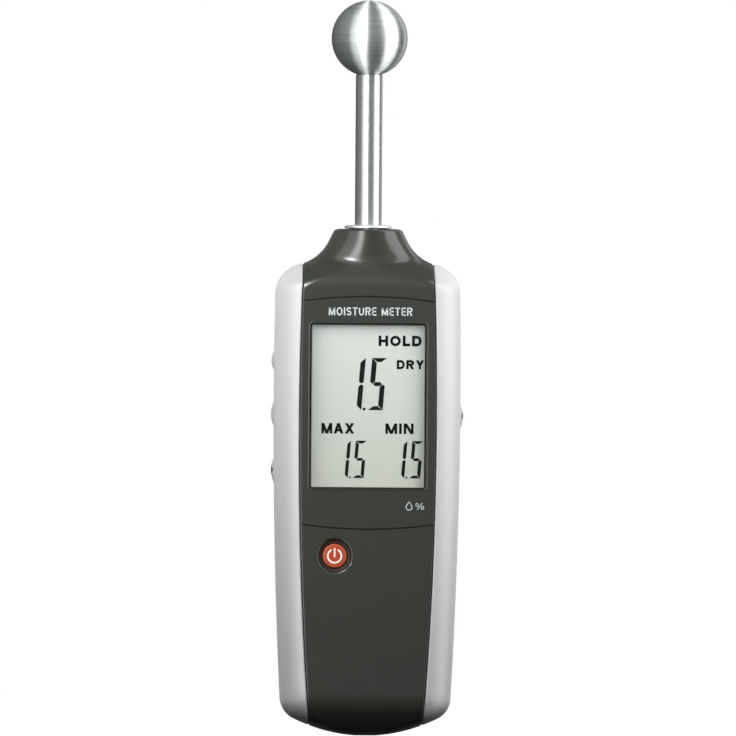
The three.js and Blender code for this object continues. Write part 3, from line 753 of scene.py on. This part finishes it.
def display_bezel():
    low = lambda x: BEZEL_LOW + bow(x)
    high = lambda x: BEZEL_HIGH - bow(x)
    rows = []
    for share in spread(0, 1, 0.28 / (BEZEL_HIGH - BEZEL_LOW), 36):
        row = []
        for across in spread(-1, 1, 0.28 / 21, 84):
            z = BEZEL_LOW + share * (BEZEL_HIGH - BEZEL_LOW)
            for _ in range(3):
                section = Section(z, False)
                x, y, _ = section.from_middle(across * section.reach_from_middle())
                z = low(x) + share * (high(x) - low(x))
            row.append((x, y, z))
        rows.append(row)
    grid = np.array(rows)
    x, _, z = np.moveaxis(grid, -1, 0)
    edge = np.minimum(np.minimum(z - low(x), high(x) - z), middle_edge(grid))
    panel = plate("panel", grid, edge, SKIN, BEZEL_EDGE, FRONT, sunk=BEZEL_SUNK)
    opening = [(0.06, AHEAD), (0.06, WITHIN)]
    carve(panel, levels("opening", *WINDOW_HALVES, WINDOW_CORNER, opening, WINDOW_MIDDLE))
    corners = [(0.3, -13.3), (0.0, -13.3), (0.0, -14.0), (0.42, -14.0), (0.62, -13.8), (0.62, -13.3)]
    lip = rounded([*corners, corners[0]], [0, 0.14, 0.16, 0.05, 0])[:-1]
    rim = levels("rim", *WINDOW_HALVES, WINDOW_CORNER, lip, WINDOW_MIDDLE, closed=True)
    made = merge("display_bezel_panel", panel, rim)
    done(made, "dark_plastic", "display_bezel")


def side_shell(side):
    """A silver side, over the whole patch between the seams."""
    gap = lambda z: half_width(z) - seam(z) - SEAM_CLEARANCE
    low, high = solve(gap, 2, 8), solve(gap, 148, 153)
    insets = [SIDE_EDGE * share for share in FILLET_STEPS]
    near_low = [solve(lambda z: gap(z) - inset, low - 0.01, 8) for inset in insets]
    near_high = [solve(lambda z: gap(z) - inset, 146, high + 0.01) for inset in insets]
    zs = [z for z in heights(low, high, 0, 0, turn=3) if near_low[-1] < z < near_high[-1]]
    rows = []
    for z in [*near_low, *zs, *reversed(near_high)]:
        front, back = Section(z, False), Section(z, True)
        row = []
        for place in spread(-front.reach_from_side(), back.reach_from_side(), SIDE_EDGE, 44):
            x, y, height = front.from_side(-place) if place < 0 else back.from_side(place)
            row.append((side * x, y, height))
        rows.append(row)
    grid = np.array(rows)
    edge = np.abs(grid[..., 0]) - seam(grid[..., 2]) - SEAM_CLEARANCE
    return plate("shell", grid, edge, SKIN, SIDE_EDGE, (side, 0, 0))


def button_half(node):
    """Half the width of a side button where it comes out of the casing."""
    low, high = cad(node)
    return (high[1] - low[1]) / 2 - FLANGE


def stadium(node, grow, x):
    """The outline of a side button, grown, in the plane of constant x."""
    low, high = cad(node)
    _, y, z = centre(node)
    half = button_half(node) + grow
    straight = (high[2] - low[2] - (high[1] - low[1])) / 2
    points = []
    for i in range(48):
        angle = (i + 0.5) / 48 * 2 * math.pi
        end = z + math.copysign(straight, math.sin(angle))
        points.append((x, y + half * math.cos(angle), end + half * math.sin(angle)))
    return points


def side_buttons(side, nodes):
    """A silver side with an opening for each of its buttons, and the buttons."""
    shell = side_shell(side)
    cutters = []
    for node in nodes:
        surface = half_width(centre(node)[2])
        outlines = []
        for grow, proud in ((0.3, -4), (0.3, -0.25), (0.38, -0.08), (0.6, 0.06), (0.6, 2)):
            outlines.append(stadium(node, grow, side * (surface + proud)))
        cutters.append(loft("hole", outlines))
    carve(shell, *cutters)
    name = "left" if side < 0 else "right"
    shell.name = f"{name}_side_panel"
    done(shell, "silver_plastic", f"{name}_side_shell")
    for node in nodes:
        side_button(side, node, surface=half_width(centre(node)[2]))


def side_button(side, node, surface):
    """A domed key. Two of them carry a dark mark on the crest."""
    low, high = cad(node)
    _, y, z = centre(node)
    tip = max(abs(low[0]), abs(high[0])) - 0.05
    root = min(abs(low[0]), abs(high[0]))
    height = tip - surface + 0.05
    steps = [(FLANGE, root), (FLANGE, root + 0.9), (0.0, root + 0.9), (0.0, surface - 0.05)]
    outlines = [stadium(node, grow, side * x) for grow, x in steps]
    foot = np.array(outlines[-1])
    crest = np.array([side * tip, y, z])
    for angle in quarter(14):
        share = math.cos(angle)
        ring = crest + (foot - crest) * max(share, 0.004)
        ring[:, 0] = side * (tip - height * share**DOME)
        outlines.append([tuple(point) for point in ring])
    done(loft(f"{node}_cap", outlines), "button_grey", node, body=node)
    if node in ("left_lower_button", "right_button"):
        steps = [(0.02, -0.15), (1, -0.15), *((size, 0.02) for size in (1, 0.75, 0.5, 0.25, 0.02))]
        rings = []
        for size, proud in steps:
            ring = []
            for c, s in circle(32):
                along_y, along_z = 2.1 * size * c, 1.15 * size * s
                x = tip - height * (abs(along_y) / button_half(node)) ** DOME + proud
                ring.append((side * x, y + along_y, z + along_z))
            rings.append(ring)
        done(loft(f"{node}_mark", rings), "button_grey", body=node, material=DARK_MARK)


# ---------------- back


CASE_SCREWS = [f"case_screw_{name}" for name in ("upper_left", "upper_right", "lower_left", "lower_right")]


def rear_cover():
    zs = heights(TIP_FLAT, NECK_TOP, 0, 0, turn=5)
    grid = middle_rows(zs, back=True, rings=NECK_RINGS)
    skin = plate("skin", grid, middle_edge(grid), wall(grid), EDGE, BACK)
    under = under_layer("under_back", True)
    low, high = cad("battery_door")
    half, top, under_door = high[0] - DOOR_LIP, high[2] + 0.3, low[1] - 0.3
    steps = [(0.0, under_door), (0.0, 13.85), (0.12, 14.05), (0.12, BEHIND)]
    cutters = [
        levels("pocket", half + 0.3, (top + 4) / 2, 1.0, steps, (0, (top - 4) / 2)),
        levels("bay", BAY_X, BAY_Z, BAY_CORNER, [(0, -4), (0, BEHIND)], (0, BAY_AT)),
        levels("groove", half + DOOR_LIP + 0.3, 32, 0.3, [(0, under_door), (0, 13.3)], (0, 27.6)),
    ]
    for node in CASE_SCREWS:
        x, _, z = centre(node)
        seat = [(0, 10.6), (2.9, 10.6), (2.9, 13.7), (2.97, 13.85), (3.2, 14.06), (3.2, BEHIND)]
        cutters.append(lathe("seat", [*seat, (0, BEHIND)], (x, 0, z), "y", 48))
    carve(skin, *cutters, keep=True)
    carve(under, *cutters)
    made = merge("rear_cover_shell", skin, under, *bay_walls())
    done(made, "dark_plastic", "rear_cover")


def bay_walls():
    """The battery bay's walls, as a ring that stands on the rear cover's inner layer, and its floor."""
    section = [(0, -5.8), (0, 12.3), (1.2, 12.3), (1.2, -5.8)]
    ring = levels("walls", BAY_X, BAY_Z, BAY_CORNER, section, (0, BAY_AT), closed=True)
    floor = levels("floor", 13.9, 23.6, BAY_CORNER, [(0, -7.1), (0, -6.1)], (0, 28.6))
    return ring, floor


def battery_door():
    low, high = cad("battery_door")
    half, lowest = high[0] - DOOR_LIP, low[1] + 0.45
    rows, edges = [], []
    for z in heights(low[2], high[2], DOOR_EDGE, DOOR_EDGE, turn=4, longest=2):
        section = Section(z, True)
        reach = half
        if section.from_middle(half)[1] < lowest:
            reach = solve(lambda s: lowest - section.from_middle(s)[1], 0, half)
        rows.append([section.from_middle(x) for x in spread(-reach, reach, DOOR_EDGE, 30)])
        side = section.from_middle(reach)[0]
        edges.append([min(side - abs(x), high[2] - z, z - low[2]) for x, _, _ in rows[-1]])
    grid = np.array(rows)
    normals = surface_normals(grid, BACK)
    depth = (grid[..., 1] - low[1] - 0.3) / np.maximum(normals[..., 1], 0.5)
    panel = plate("battery_door_panel", grid, np.array(edges), depth, DOOR_EDGE, BACK)
    thumb = [(0.35, BEHIND), (0.35, 14.06), (0.1, 13.8), (-0.25, 13.35), (-0.6, 13.2)]
    carve(panel, levels("thumb", 7, 4.5, 2.0, thumb, (0, 51)))
    tongue_low, tongue_high = 6.5, high[2] - 0.8
    half_z, middle = (tongue_high - tongue_low) / 2, (0, (tongue_high + tongue_low) / 2)
    tongue = levels("tongue", half + DOOR_LIP, half_z, 0.3, [(0, low[1]), (0, 13.0)], middle)
    ribs = []
    for z in (48.6, 51, 53.4):
        steps = [(0.0, 12.9), (0.0, 13.55), (-0.1, 13.75), (-0.3, 13.85)]
        ribs.append(levels("rib", 5.4, 0.5, 0.45, steps, (0, z)))
    made = merge("battery_door_panel", panel, tongue, *ribs)
    done(made, "dark_plastic", "battery_door", body="battery_door")


def screws():
    """The case screws, with pan heads and a cross recess, each stopped at its own turn."""
    for node in CASE_SCREWS:
        low, high = cad(node)
        x, _, z = centre(node)
        profile = [(0, low[1]), (1.0, low[1]), (1.3, low[1] + 0.5), (1.3, 10.7), (2.6, 10.7)]
        for angle in [0, *quarter(8)]:
            profile.append((2.6 - 0.9 * (1 - math.cos(angle)), 11.5 + (high[1] - 11.5) * math.sin(angle)))
        head = lathe("head", [*profile, (0, high[1])], (x, 0, z), "y", 48)
        turn = random.Random(node.removeprefix("case_screw_")).uniform(0, math.pi)
        slots = []
        for more in (0, math.pi / 2):
            slot = levels("slot", 1.45, 0.3, 0.12, [(-0.12, 11.3), (0.05, 12.0), (0.12, 13)])
            slot.data.transform(turned(turn + more, x, z))
            slots.append(slot)
        carve(head, *slots)
        head.name = f"{node}_cross"
        done(head, "bright_steel", node)


def turned(angle, x, z):
    """Turns a mesh drawn round x = z = 0 about the y axis, and moves it to x, z."""
    base = Vector((-ORIGIN / 1000).tolist())
    place = Vector((x / 1000, 0, z / 1000))
    turn = Matrix.Rotation(angle, 4, "Y")
    return Matrix.Translation(place + base) @ turn @ Matrix.Translation(-base)


# ---------------- printing


def flat_print(name, polygons, y, thick, slot, material, body="housing"):
    """Flat shapes, given as (x, z) outlines, as one thin raised print that faces the front."""
    points, faces = [], []
    for outline in polygons:
        first, count = len(points), len(outline)
        points += [(x, y, z) for x, z in outline] + [(x, y + thick, z) for x, z in outline]
        faces.append(list(range(first, first + count)))
        faces.append([first + count + i for i in reversed(range(count))])
        for i in range(count):
            j = (i + 1) % count
            faces.append((first + i, first + count + i, first + count + j, first + j))
    done(add(name, points, faces), slot, body=body, material=material, smooth_shading=False)


def segment_outlines(x, z, wide, tall, bar, post, lit):
    """The lit segments of one seven-segment figure, named a to g as usual; e is never lit. x is its right
    edge and z its foot, bar is how thick its level segments are, and post the others."""
    gap, lean = 0.08 + 0.03 * post, 0.083
    left, right, middle = -wide, 0.0, tall / 2
    tip, end = post * 0.5, post * 0.9
    shapes = {"g": [(left + tip, middle), (left + end, middle + bar / 2), (right - end, middle + bar / 2)]}
    shapes["g"] += [(right - tip, middle), (right - end, middle - bar / 2), (left + end, middle - bar / 2)]
    for name, edge, inner in (("a", tall, tall - bar), ("d", 0.0, bar)):
        shapes[name] = [(left, edge), (right, edge), (right - post, inner), (left + post, inner)]
    for name, edge, inner, first, way in (
        ("b", right, right - post, tall, -1),
        ("c", right, right - post, 0.0, 1),
        ("f", left, left + post, tall, -1),
    ):
        shapes[name] = [(edge, first), (inner, first + way * bar), (inner, middle - way * bar / 2)]
        shapes[name] += [((edge + inner) / 2, middle), (edge, middle - way * bar * 0.35)]
    out = []
    for name in lit:
        outline = np.array(shapes[name])
        core = outline.mean(0)
        extent = np.abs(outline - core).max(0)
        outline = core + (outline - core) * (1 - gap / np.maximum(extent, gap * 2))
        out.append([(x + px + (pz - middle) * lean, z + pz) for px, pz in outline])
    return out


def ribbon(points, width, closed=False):
    """A line of some width, as one four-sided outline for each of its segments."""
    points = [Vector(p) for p in points]
    count = len(points)
    sides = []
    for i, point in enumerate(points):
        last = points[i - 1] if closed or i > 0 else point
        after = points[(i + 1) % count] if closed or i < count - 1 else point
        along = (after - last).normalized()
        across = Vector((-along.y, along.x)) * (width / 2)
        sides.append((tuple(point + across), tuple(point - across)))
    pairs = zip(sides, sides[1:] + sides[:1] if closed else sides[1:])
    return [[a[0], b[0], b[1], a[1]] for a, b in pairs]


def bend(x, z, radius_x, radius_z, start, end, steps=10):
    """Points of a bend, from one angle to another in quarter turns."""
    angles = np.linspace(start, end, steps + 1) * math.pi / 2
    return [(x + radius_x * math.cos(a), z + radius_z * math.sin(a)) for a in angles]


# Each letter: its width, its straight strokes from foot to head, its level bars from left to right at a
# height, and its curves, all in a unit box.
LEFT, RIGHT, MIDDLE = ((0, 0), (0, 1)), ((1, 0), (1, 1)), ((0.5, 0), (0.5, 1))
FALLING = ((1, 0), (0, 1))
BOWL = [(0, 1), *bend(0.5, 0.5, 0.5, 0.5, 1, -1, 14), (0, 0)]
LOOP = [(0, 1), *bend(0.62, 0.76, 0.38, 0.24, 1, -1), (0, 0.52)]
ESS = [*bend(0.5, 0.75, 0.5, 0.25, 0.2, 3, 12), *bend(0.5, 0.25, 0.5, 0.25, 1, -1.8, 12)]
CUP = [(0, 1), *bend(0.5, 0.4, 0.5, 0.4, -2, 0, 12), (1, 1)]
LETTERS = {
    "A": (0.86, [((0, 0), (0.5, 1)), ((1, 0), (0.5, 1))], [(0.2, 0.8, 0.27)], []),
    "D": (0.8, [LEFT], [], [BOWL]),
    "E": (0.68, [LEFT], [(0, 1, 0), (0, 0.92, 0.5), (0, 1, 1)], []),
    "H": (0.8, [LEFT, RIGHT], [(0, 1, 0.5)], []),
    "I": (0.22, [MIDDLE], [], []),
    "L": (0.62, [LEFT], [(0, 1, 0)], []),
    "M": (0.98, [LEFT, RIGHT, ((0.5, 0), (0, 1)), ((0.5, 0), (1, 1))], [], []),
    "N": (0.82, [LEFT, RIGHT, FALLING], [], []),
    "O": (0.9, [], [], [bend(0.5, 0.5, 0.5, 0.5, 0, 4, 28)]),
    "R": (0.8, [LEFT, ((1, 0), (0.5, 0.5))], [], [LOOP]),
    "S": (0.74, [], [], [ESS]),
    "T": (0.74, [MIDDLE], [(0, 1, 1)], []),
    "U": (0.8, [], [], [CUP]),
    "X": (0.86, [((0, 0), (1, 1)), FALLING], [], []),
    "Y": (0.84, [((0.5, 0), (0.5, 0.5)), ((0.5, 0.4), (0, 1)), ((0.5, 0.4), (1, 1))], [], []),
    " ": (0.4, [], [], []),
}


def letter(sign, x, z, wide, tall, stroke):
    """The outlines of one letter whose box starts at x, z."""
    _, straights, bars, curves = LETTERS[sign]
    half = stroke / 2
    across = lambda share: x + half + share * (wide - stroke)
    up = lambda share: z + half + share * (tall - stroke)
    shapes = []
    for (foot_x, foot), (head_x, head) in straights:
        low, high = z + foot * tall, z + head * tall
        lean = math.hypot(high - low, across(head_x) - across(foot_x)) / (high - low)
        reach = half * lean
        outline = []
        for share, height, side in ((foot_x, low, 1), (head_x, high, -1)):
            middle = min(max(across(share), x + reach), x + wide - reach)
            outline += [(middle - side * reach, height), (middle + side * reach, height)]
        shapes.append(outline)
    for start, end, height in bars:
        left, right, low = across(start) - half, across(end) + half, up(height) - half
        high = up(height) + half
        shapes.append([(left, low), (right, low), (right, high), (left, high)])
    for curve in curves:
        closed = math.dist(curve[0], curve[-1]) < 1e-6
        points = [(across(a), up(b)) for a, b in (curve[:-1] if closed else curve)]
        shapes += ribbon(points, stroke, closed)
    return shapes


def lettering(words, x, z, width, tall, stroke, space):
    """Outlines of words that start at x and are as wide as given."""
    gaps = space * (len(words) - 1)
    scale = (width - gaps) / sum(LETTERS[sign][0] for sign in words)
    shapes = []
    for sign in words:
        wide = LETTERS[sign][0] * scale
        shapes += letter(sign, x, z, wide, tall, stroke)
        x += wide + space
    return shapes


def markings():
    """Generic printing: what the instrument is, and a drop with a per cent sign."""
    y = -HALF_DEPTH + BEZEL_SUNK - 0.02
    title = lettering("MOISTURE METER", -12.7, 134.3, 26.6, 2.6, 0.4, 0.42)
    flat_print("label_title", title, y, 0.02, "dark_plastic", PALE_MARK)
    x, z = 13.3, 73.4
    drop = [(x, z + 1.75), *bend(x, z, 0.95, 0.95, 0.35, -2.35, 20)]
    unit = ribbon(drop, 0.26, closed=True)
    unit += ribbon(bend(x + 2.55, z + 0.72, 0.4, 0.5, 0, 4, 16)[:-1], 0.22, closed=True)
    unit += ribbon(bend(x + 4.25, z - 0.22, 0.4, 0.5, 0, 4, 16)[:-1], 0.22, closed=True)
    unit += ribbon([(x + 2.6, z - 0.85), (x + 4.2, z + 1.35)], 0.24)
    flat_print("label_unit", unit, y, 0.02, "dark_plastic", PALE_MARK)


# ---------------- display and power button


def display_face():
    low, high = cad("lcd_panel")
    middle = (0, (low[2] + high[2]) / 2)
    half = (high[0], (high[2] - low[2]) / 2)
    steps = [(-0.1, low[1]), (0, low[1] + 0.1), (0, high[1] - 0.1), (-0.1, high[1])]
    panel = levels("lcd_panel_face", *half, 0.4, steps, middle)
    done(panel, "lcd_glass", "lcd_panel", material=display("lcd_reflector"))

    large, small = (5.06, 16.9, 1.56, 1.86), (3.75, 12.15, 1.15, 1.3)  # width, height, bar and post
    figures = []
    for right, foot, size, pitch in (
        (5.56, 104.05, large, 6.82),
        (-0.57, 82.4, small, 5.06),
        (17.43, 82.4, small, 5.06),
    ):
        post = size[-1]
        figures += segment_outlines(right, foot, *size, "afgcd")
        figures += segment_outlines(right - pitch, foot, *size, "bc")
        dot_x, dot_z, radius = right - pitch + 0.08, foot + post * 0.24, post * 0.25
        figures.append([(dot_x + radius * c, dot_z + radius * s) for c, s in circle(20)])
    words = lettering("HOLD", 3.3, 124.6, 13.7, 3.35, 0.88, 0.62)
    words += lettering("DRY", 9.15, 117.3, 8.7, 2.9, 0.76, 0.5)
    words += lettering("MAX", -14.75, 96.65, 10.5, 3.35, 0.84, 0.45)
    words += lettering("MIN", 5.65, 96.65, 9.0, 3.35, 0.84, 0.62)
    # Grey strips down the display's left and right edges: painted shade that the bezel casts on the
    # reflector.
    top, foot, out = WINDOW_HIGH + 0.3, WINDOW_LOW - 0.3, WINDOW_HALF + 0.3
    shade_strips = []
    for start, end in ((-out, -17.75), (18.05, out)):
        shade_strips.append([(start, foot), (end, foot), (end, top), (start, top)])
    inks = {"figures": (figures, SEGMENT), "words": (words, SEGMENT), "painted_edge_shades": (shade_strips, EDGE_SHADE_PAINT)}
    for name, (shapes, ink) in inks.items():
        flat_print(f"display_{name}", shapes, low[1] - 0.03, 0.03, "lcd_glass", ink)


def window():
    steps = [(1.35, -11.2), (1.35, -12.25), (-0.3, -12.25), (-0.3, -13.4), (-0.4, -13.5)]
    pane = levels("display_window_pane", *WINDOW_HALVES, WINDOW_CORNER, steps, WINDOW_MIDDLE)
    done(pane, "window_clear", "display_window")
    # Black tape under the pane. Its inner border reaches inside the opening so that it shows as a dark line
    # round the window: partly real tape, partly painted shade in the gap.
    steps = [(-0.5, -12.58), (1.3, -12.58), (1.3, -12.28), (-0.5, -12.28)]
    tape = levels("window_gasket", *WINDOW_HALVES, WINDOW_CORNER, steps, WINDOW_MIDDLE, closed=True)
    done(tape, "black_plastic", material=TAPE_AND_GAP_SHADE)


def power_button():
    low, high = cad("power_button")
    x, _, z = centre("power_button")
    top, radius, edge = low[1], 3.85, 0.42
    flange = [(0, high[1]), (4.9, high[1]), (4.9, high[1] - 0.6), (radius, high[1] - 0.6)]
    profile = [*flange, (radius, top + edge)]
    for angle in quarter(8):
        profile.append((radius - edge * (1 - math.cos(angle)), top + 0.47 - edge * math.sin(angle)))
    crown = [(3.43 * k, top + 0.05 * k * k) for k in (0.85, 0.6, 0.3)]
    cap = lathe("power_button_cap", [*profile, *crown, (0, top)], (x, 0, z), "y", 72)
    middle = tuple((np.array([x, top, z]) - ORIGIN) / 1000)
    orange = orange_button("power_orange", middle)
    done(cap, "power_orange", "power_button", body="power_button", material=orange)
    # A thin dark brown ring in the dish round the cap: painted shade in the well and a painted reflection of
    # the orange cap.
    floor = [(4.2, -13.14), (4.8, -13.18), (5.0, -13.28), (5.1, -13.45)]
    profile = [*floor, (5.3, -13.4), (5.0, -13.0), (4.2, -12.95)]
    well = lathe("power_button_painted_well_shade", profile, (x, 0, z), "y", 72, closed=True)
    done(well, "dark_plastic", material=WELL_SHADE_AND_REFLECTION)
    ring_radius, stroke, half_gap = 2.16, 0.56, 27 / 90
    around = bend(x, z, ring_radius, ring_radius, 1 + half_gap, 5 - half_gap, 40)
    symbol = ribbon(around, stroke) + ribbon([(x, z - 0.4), (x, z + 2.5)], stroke)
    flat_print("power_symbol", symbol, top - 0.01, 0.1, "power_orange", WHITE_MARK, "power_button")


# ---------------- probe and battery


def probe():
    low, high = cad("sensor_ball")
    radius = (high[0] - low[0]) / 2
    middle = high[2] - radius
    stem_low, stem_high = cad("sensor_stem")
    shoulder = 211.4
    ball = [(0, middle - 4.5), (2.75, middle - 4.5), (2.75, shoulder + 0.1), (4.15, shoulder + 0.1)]
    first = math.asin((middle - shoulder) / radius)
    for i in range(57):
        angle = -first + (math.pi / 2 + first) * i / 56
        ball.append((radius * math.cos(angle), middle + radius * math.sin(angle)))
    made = lathe("sensor_ball_turned", ball, (0, 0, 0), "z", 128)
    done(made, "brushed_steel", "sensor_ball")

    bottom, step, top = stem_low[2], 163.25, stem_high[2]
    corners = [(0, bottom), (3, bottom), (3, step), (4.3, step), (4.3, shoulder), (2.5, shoulder)]
    profile = rounded([*corners, (2.5, top), (0, top)], [0.3, 0, 0.18, 0.12, 0, 0.3])
    stem = lathe("sensor_stem_turned", profile, (0, 0, 0), "z", 96)
    done(stem, "brushed_steel", "sensor_stem")

    low, high = cad("stem_washer")
    edge = [(3.2, low[2]), (7.6, low[2]), (7.6, high[2] - 0.35), (7.1, high[2]), (3.2, high[2])]
    profile = rounded(edge, [0.15, 0.1, 0.35])
    washer = lathe("stem_washer_turned", profile, (0, 0, 0), "z", 96, closed=True)
    done(washer, "bright_steel", "stem_washer", material=ZINC)


def battery():
    low, high = cad("battery")
    _, y, _ = centre("battery")
    half_x, half_y = high[0], (high[1] - low[1]) / 2
    ends = [(-0.9, 0), (-0.25, 0.1), (0, 0.6), (0, 1.4), (-0.12, 1.6), (0, 1.8)]  # grown, and how far in
    steps = [(grow, low[2] + inside) for grow, inside in ends]
    steps += [(grow, high[2] - inside) for grow, inside in reversed(ends)]
    outlines = []
    for grow, z in steps:
        outline = rounded_rect(half_x + grow, half_y + grow, BATTERY_CORNER, 0, steps=6)
        outlines.append([(px, y + py, z) for px, _, py in outline])
    wrap = jacket("battery_jacket", (36, 40, 47), (176, 128, 60))
    done(loft("battery_block", outlines), "battery_wrap", "battery", material=wrap)


def lead(name, node, slot, x):
    """One of the snap's wires, along the route of its node."""
    _, high = cad(node)
    curve = bpy.data.curves.new(name, "CURVE")
    curve.dimensions = "3D"
    curve.bevel_depth = 0.00058
    curve.bevel_resolution = 4
    curve.use_fill_caps = True
    spline = curve.splines.new("NURBS")
    snap = cad("battery_snap")[0][2]
    _, y, _ = centre("battery")
    route = [(x, y - 5.8, snap + 1.5), (x, y - 6.9, snap + 3.2), (x, -4.2, 59), (x, -4.2, high[2])]
    spline.points.add(len(route) - 1)
    for point, place in zip(spline.points, route):
        point.co = (*((np.array(place) - ORIGIN) / 1000), 1)
    spline.order_u = 3
    spline.use_endpoint_u = True
    path = link_object(name, curve)
    mesh = evaluated_mesh(path)
    bpy.data.objects.remove(path)
    done(link_object(name, mesh), slot, node)


# ---------------- stage


def stage():
    bpy.ops.mesh.primitive_circle_add(vertices=96, radius=6, fill_type="NGON", location=(0, 0, -0.3))
    floor = bpy.context.object
    floor.name = "floor"
    paint = Surface("floor_paint")
    paint.colour(paint.noise(3, 2), (0.3, (0.88, 0.88, 0.88)), (0.7, (0.9, 0.9, 0.9)))
    paint.finish(Roughness=0.9, Emission_Color=(1, 1, 1, 1), Emission_Strength=0.9)
    floor.data.materials.append(paint.material)
    floor.visible_glossy = False
    floor.visible_diffuse = False


def world():
    """White to the camera. To everything else it is a room that is darker below and behind, and dimmer for
    matt surfaces than for reflections."""
    made = bpy.data.worlds.new("studio")
    bpy.context.scene.world = made
    nodes = Nodes(made)
    nodes.tree.nodes.clear()
    direction = nodes.parts(nodes.add("ShaderNodeTexCoord").outputs["Generated"])
    height = nodes.mapped(direction["Z"], From_Min=-1.0)
    stops = ((0.1, 0.05), (0.3, 0.2), (0.5, 0.42), (0.68, 0.7), (0.95, 0.42))
    walls = nodes.ramp(height, *((place, (k, k * 1.01, k * 1.02)) for place, k in stops))
    behind = nodes.mapped(direction["Y"], From_Min=-0.1, From_Max=0.95, To_Min=1.0, To_Max=0.3)
    path = nodes.add("ShaderNodeLightPath")
    dimmer = nodes.mapped(path.outputs["Is Diffuse Ray"], To_Min=1.0, To_Max=0.32)
    strength = nodes.add("ShaderNodeMath", operation="MULTIPLY")
    nodes.feed(strength, behind, dimmer)
    room = nodes.add("ShaderNodeBackground", Color=walls, Strength=strength.outputs["Value"])
    seen = nodes.add("ShaderNodeBackground", Color=(1, 1, 1, 1))
    mix = nodes.add("ShaderNodeMixShader")
    nodes.feed(mix, path.outputs["Is Camera Ray"], room.outputs["Background"], seen.outputs["Background"])
    nodes.add("ShaderNodeOutputWorld", Surface=mix.outputs["Shader"])


def softbox(name, azimuth, elevation, distance, size, power, kind, target=(0, -0.014, 0.02)):
    """A rectangular light that looks at the meter. Azimuth 0 is in front of it, and positive is to the right.
    It is "mirrored" in glossy surfaces, or it is a "fill" that only lights matt ones."""
    a, e = math.radians(azimuth), math.radians(elevation)
    towards = Vector((math.sin(a) * math.cos(e), -math.cos(a) * math.cos(e), math.sin(e)))
    data = bpy.data.lights.new(name, "AREA")
    data.shape = "RECTANGLE"
    data.size, data.size_y = size
    data.energy = power
    light = link_object(name, data)
    look(light, Vector(target), towards, distance)
    light.visible_camera = False
    light.visible_glossy = kind == "mirrored"
    light.visible_diffuse = kind == "fill"


def look(thing, target, towards, distance, roll=0.0):
    """Puts a light or a camera at a distance from its target, and turns it to look there."""
    thing.location = target + towards * distance
    thing.rotation_mode = "QUATERNION"
    thing.rotation_quaternion = towards.to_track_quat("Z", "Y") @ Quaternion((0, 0, 1), roll)


def lights():
    softbox("left_softbox", -39, 8, 0.8, (0.7, 2.2), 7.5, "mirrored")
    softbox("left_strip", -21, 10, 0.78, (0.2, 0.9), 5.0, "mirrored")
    softbox("right_softbox", 75, 8, 0.8, (0.66, 2.4), 17, "mirrored")
    softbox("key", -25, 37, 0.8, (0.17, 0.15), 2.9, "mirrored")
    softbox("rear_softbox", 142, 12, 1.0, (0.34, 1.6), 1.4, "mirrored")
    softbox("left_fill", -66, 10, 0.19, (0.2, 0.2), 0.43, "fill", (0, -0.014, 0.075))
    softbox("front_fill", 0, 5, 0.22, (0.2, 0.2), 0.22, "fill", (0, -0.014, 0.08))
    softbox("right_fill", 56, 10, 0.2, (0.2, 0.2), 0.5, "fill", (0, -0.014, 0.07))
    softbox("back_left_fill", -150, 30, 0.8, (0.6, 0.6), 5, "fill")
    softbox("back_right_fill", 150, 30, 0.8, (0.6, 0.6), 5, "fill")


def camera():
    """In front and level, a little to the left, with a long lens."""
    distance, frame_height, azimuth, roll = 3.0, 0.2354, math.radians(-1.5), math.radians(0.42)
    data = bpy.data.cameras.new("camera")
    data.sensor_width = 36
    data.lens = data.sensor_width * distance / frame_height
    made = link_object("camera", data)
    towards = Vector((math.sin(azimuth), -math.cos(azimuth), 0))
    look(made, Vector((0.00026, -0.014, 0.0176)), towards, distance, roll)
    bpy.context.scene.camera = made


# ---------------- everything together

camera()
world()
lights()
stage()
bpy.context.scene.view_settings.view_transform = "Standard"

front_cover()
display_bezel()
window()
display_face()
markings()
power_button()
side_buttons(-1, ["left_upper_button", "left_middle_button", "left_lower_button"])
side_buttons(1, ["right_button"])
rear_cover()
battery_door()
screws()
probe()
battery()
lead("positive_wire", "battery_lead_positive", "red_wire", 5)
lead("negative_wire", "battery_lead_negative", "black_plastic", 8.2)
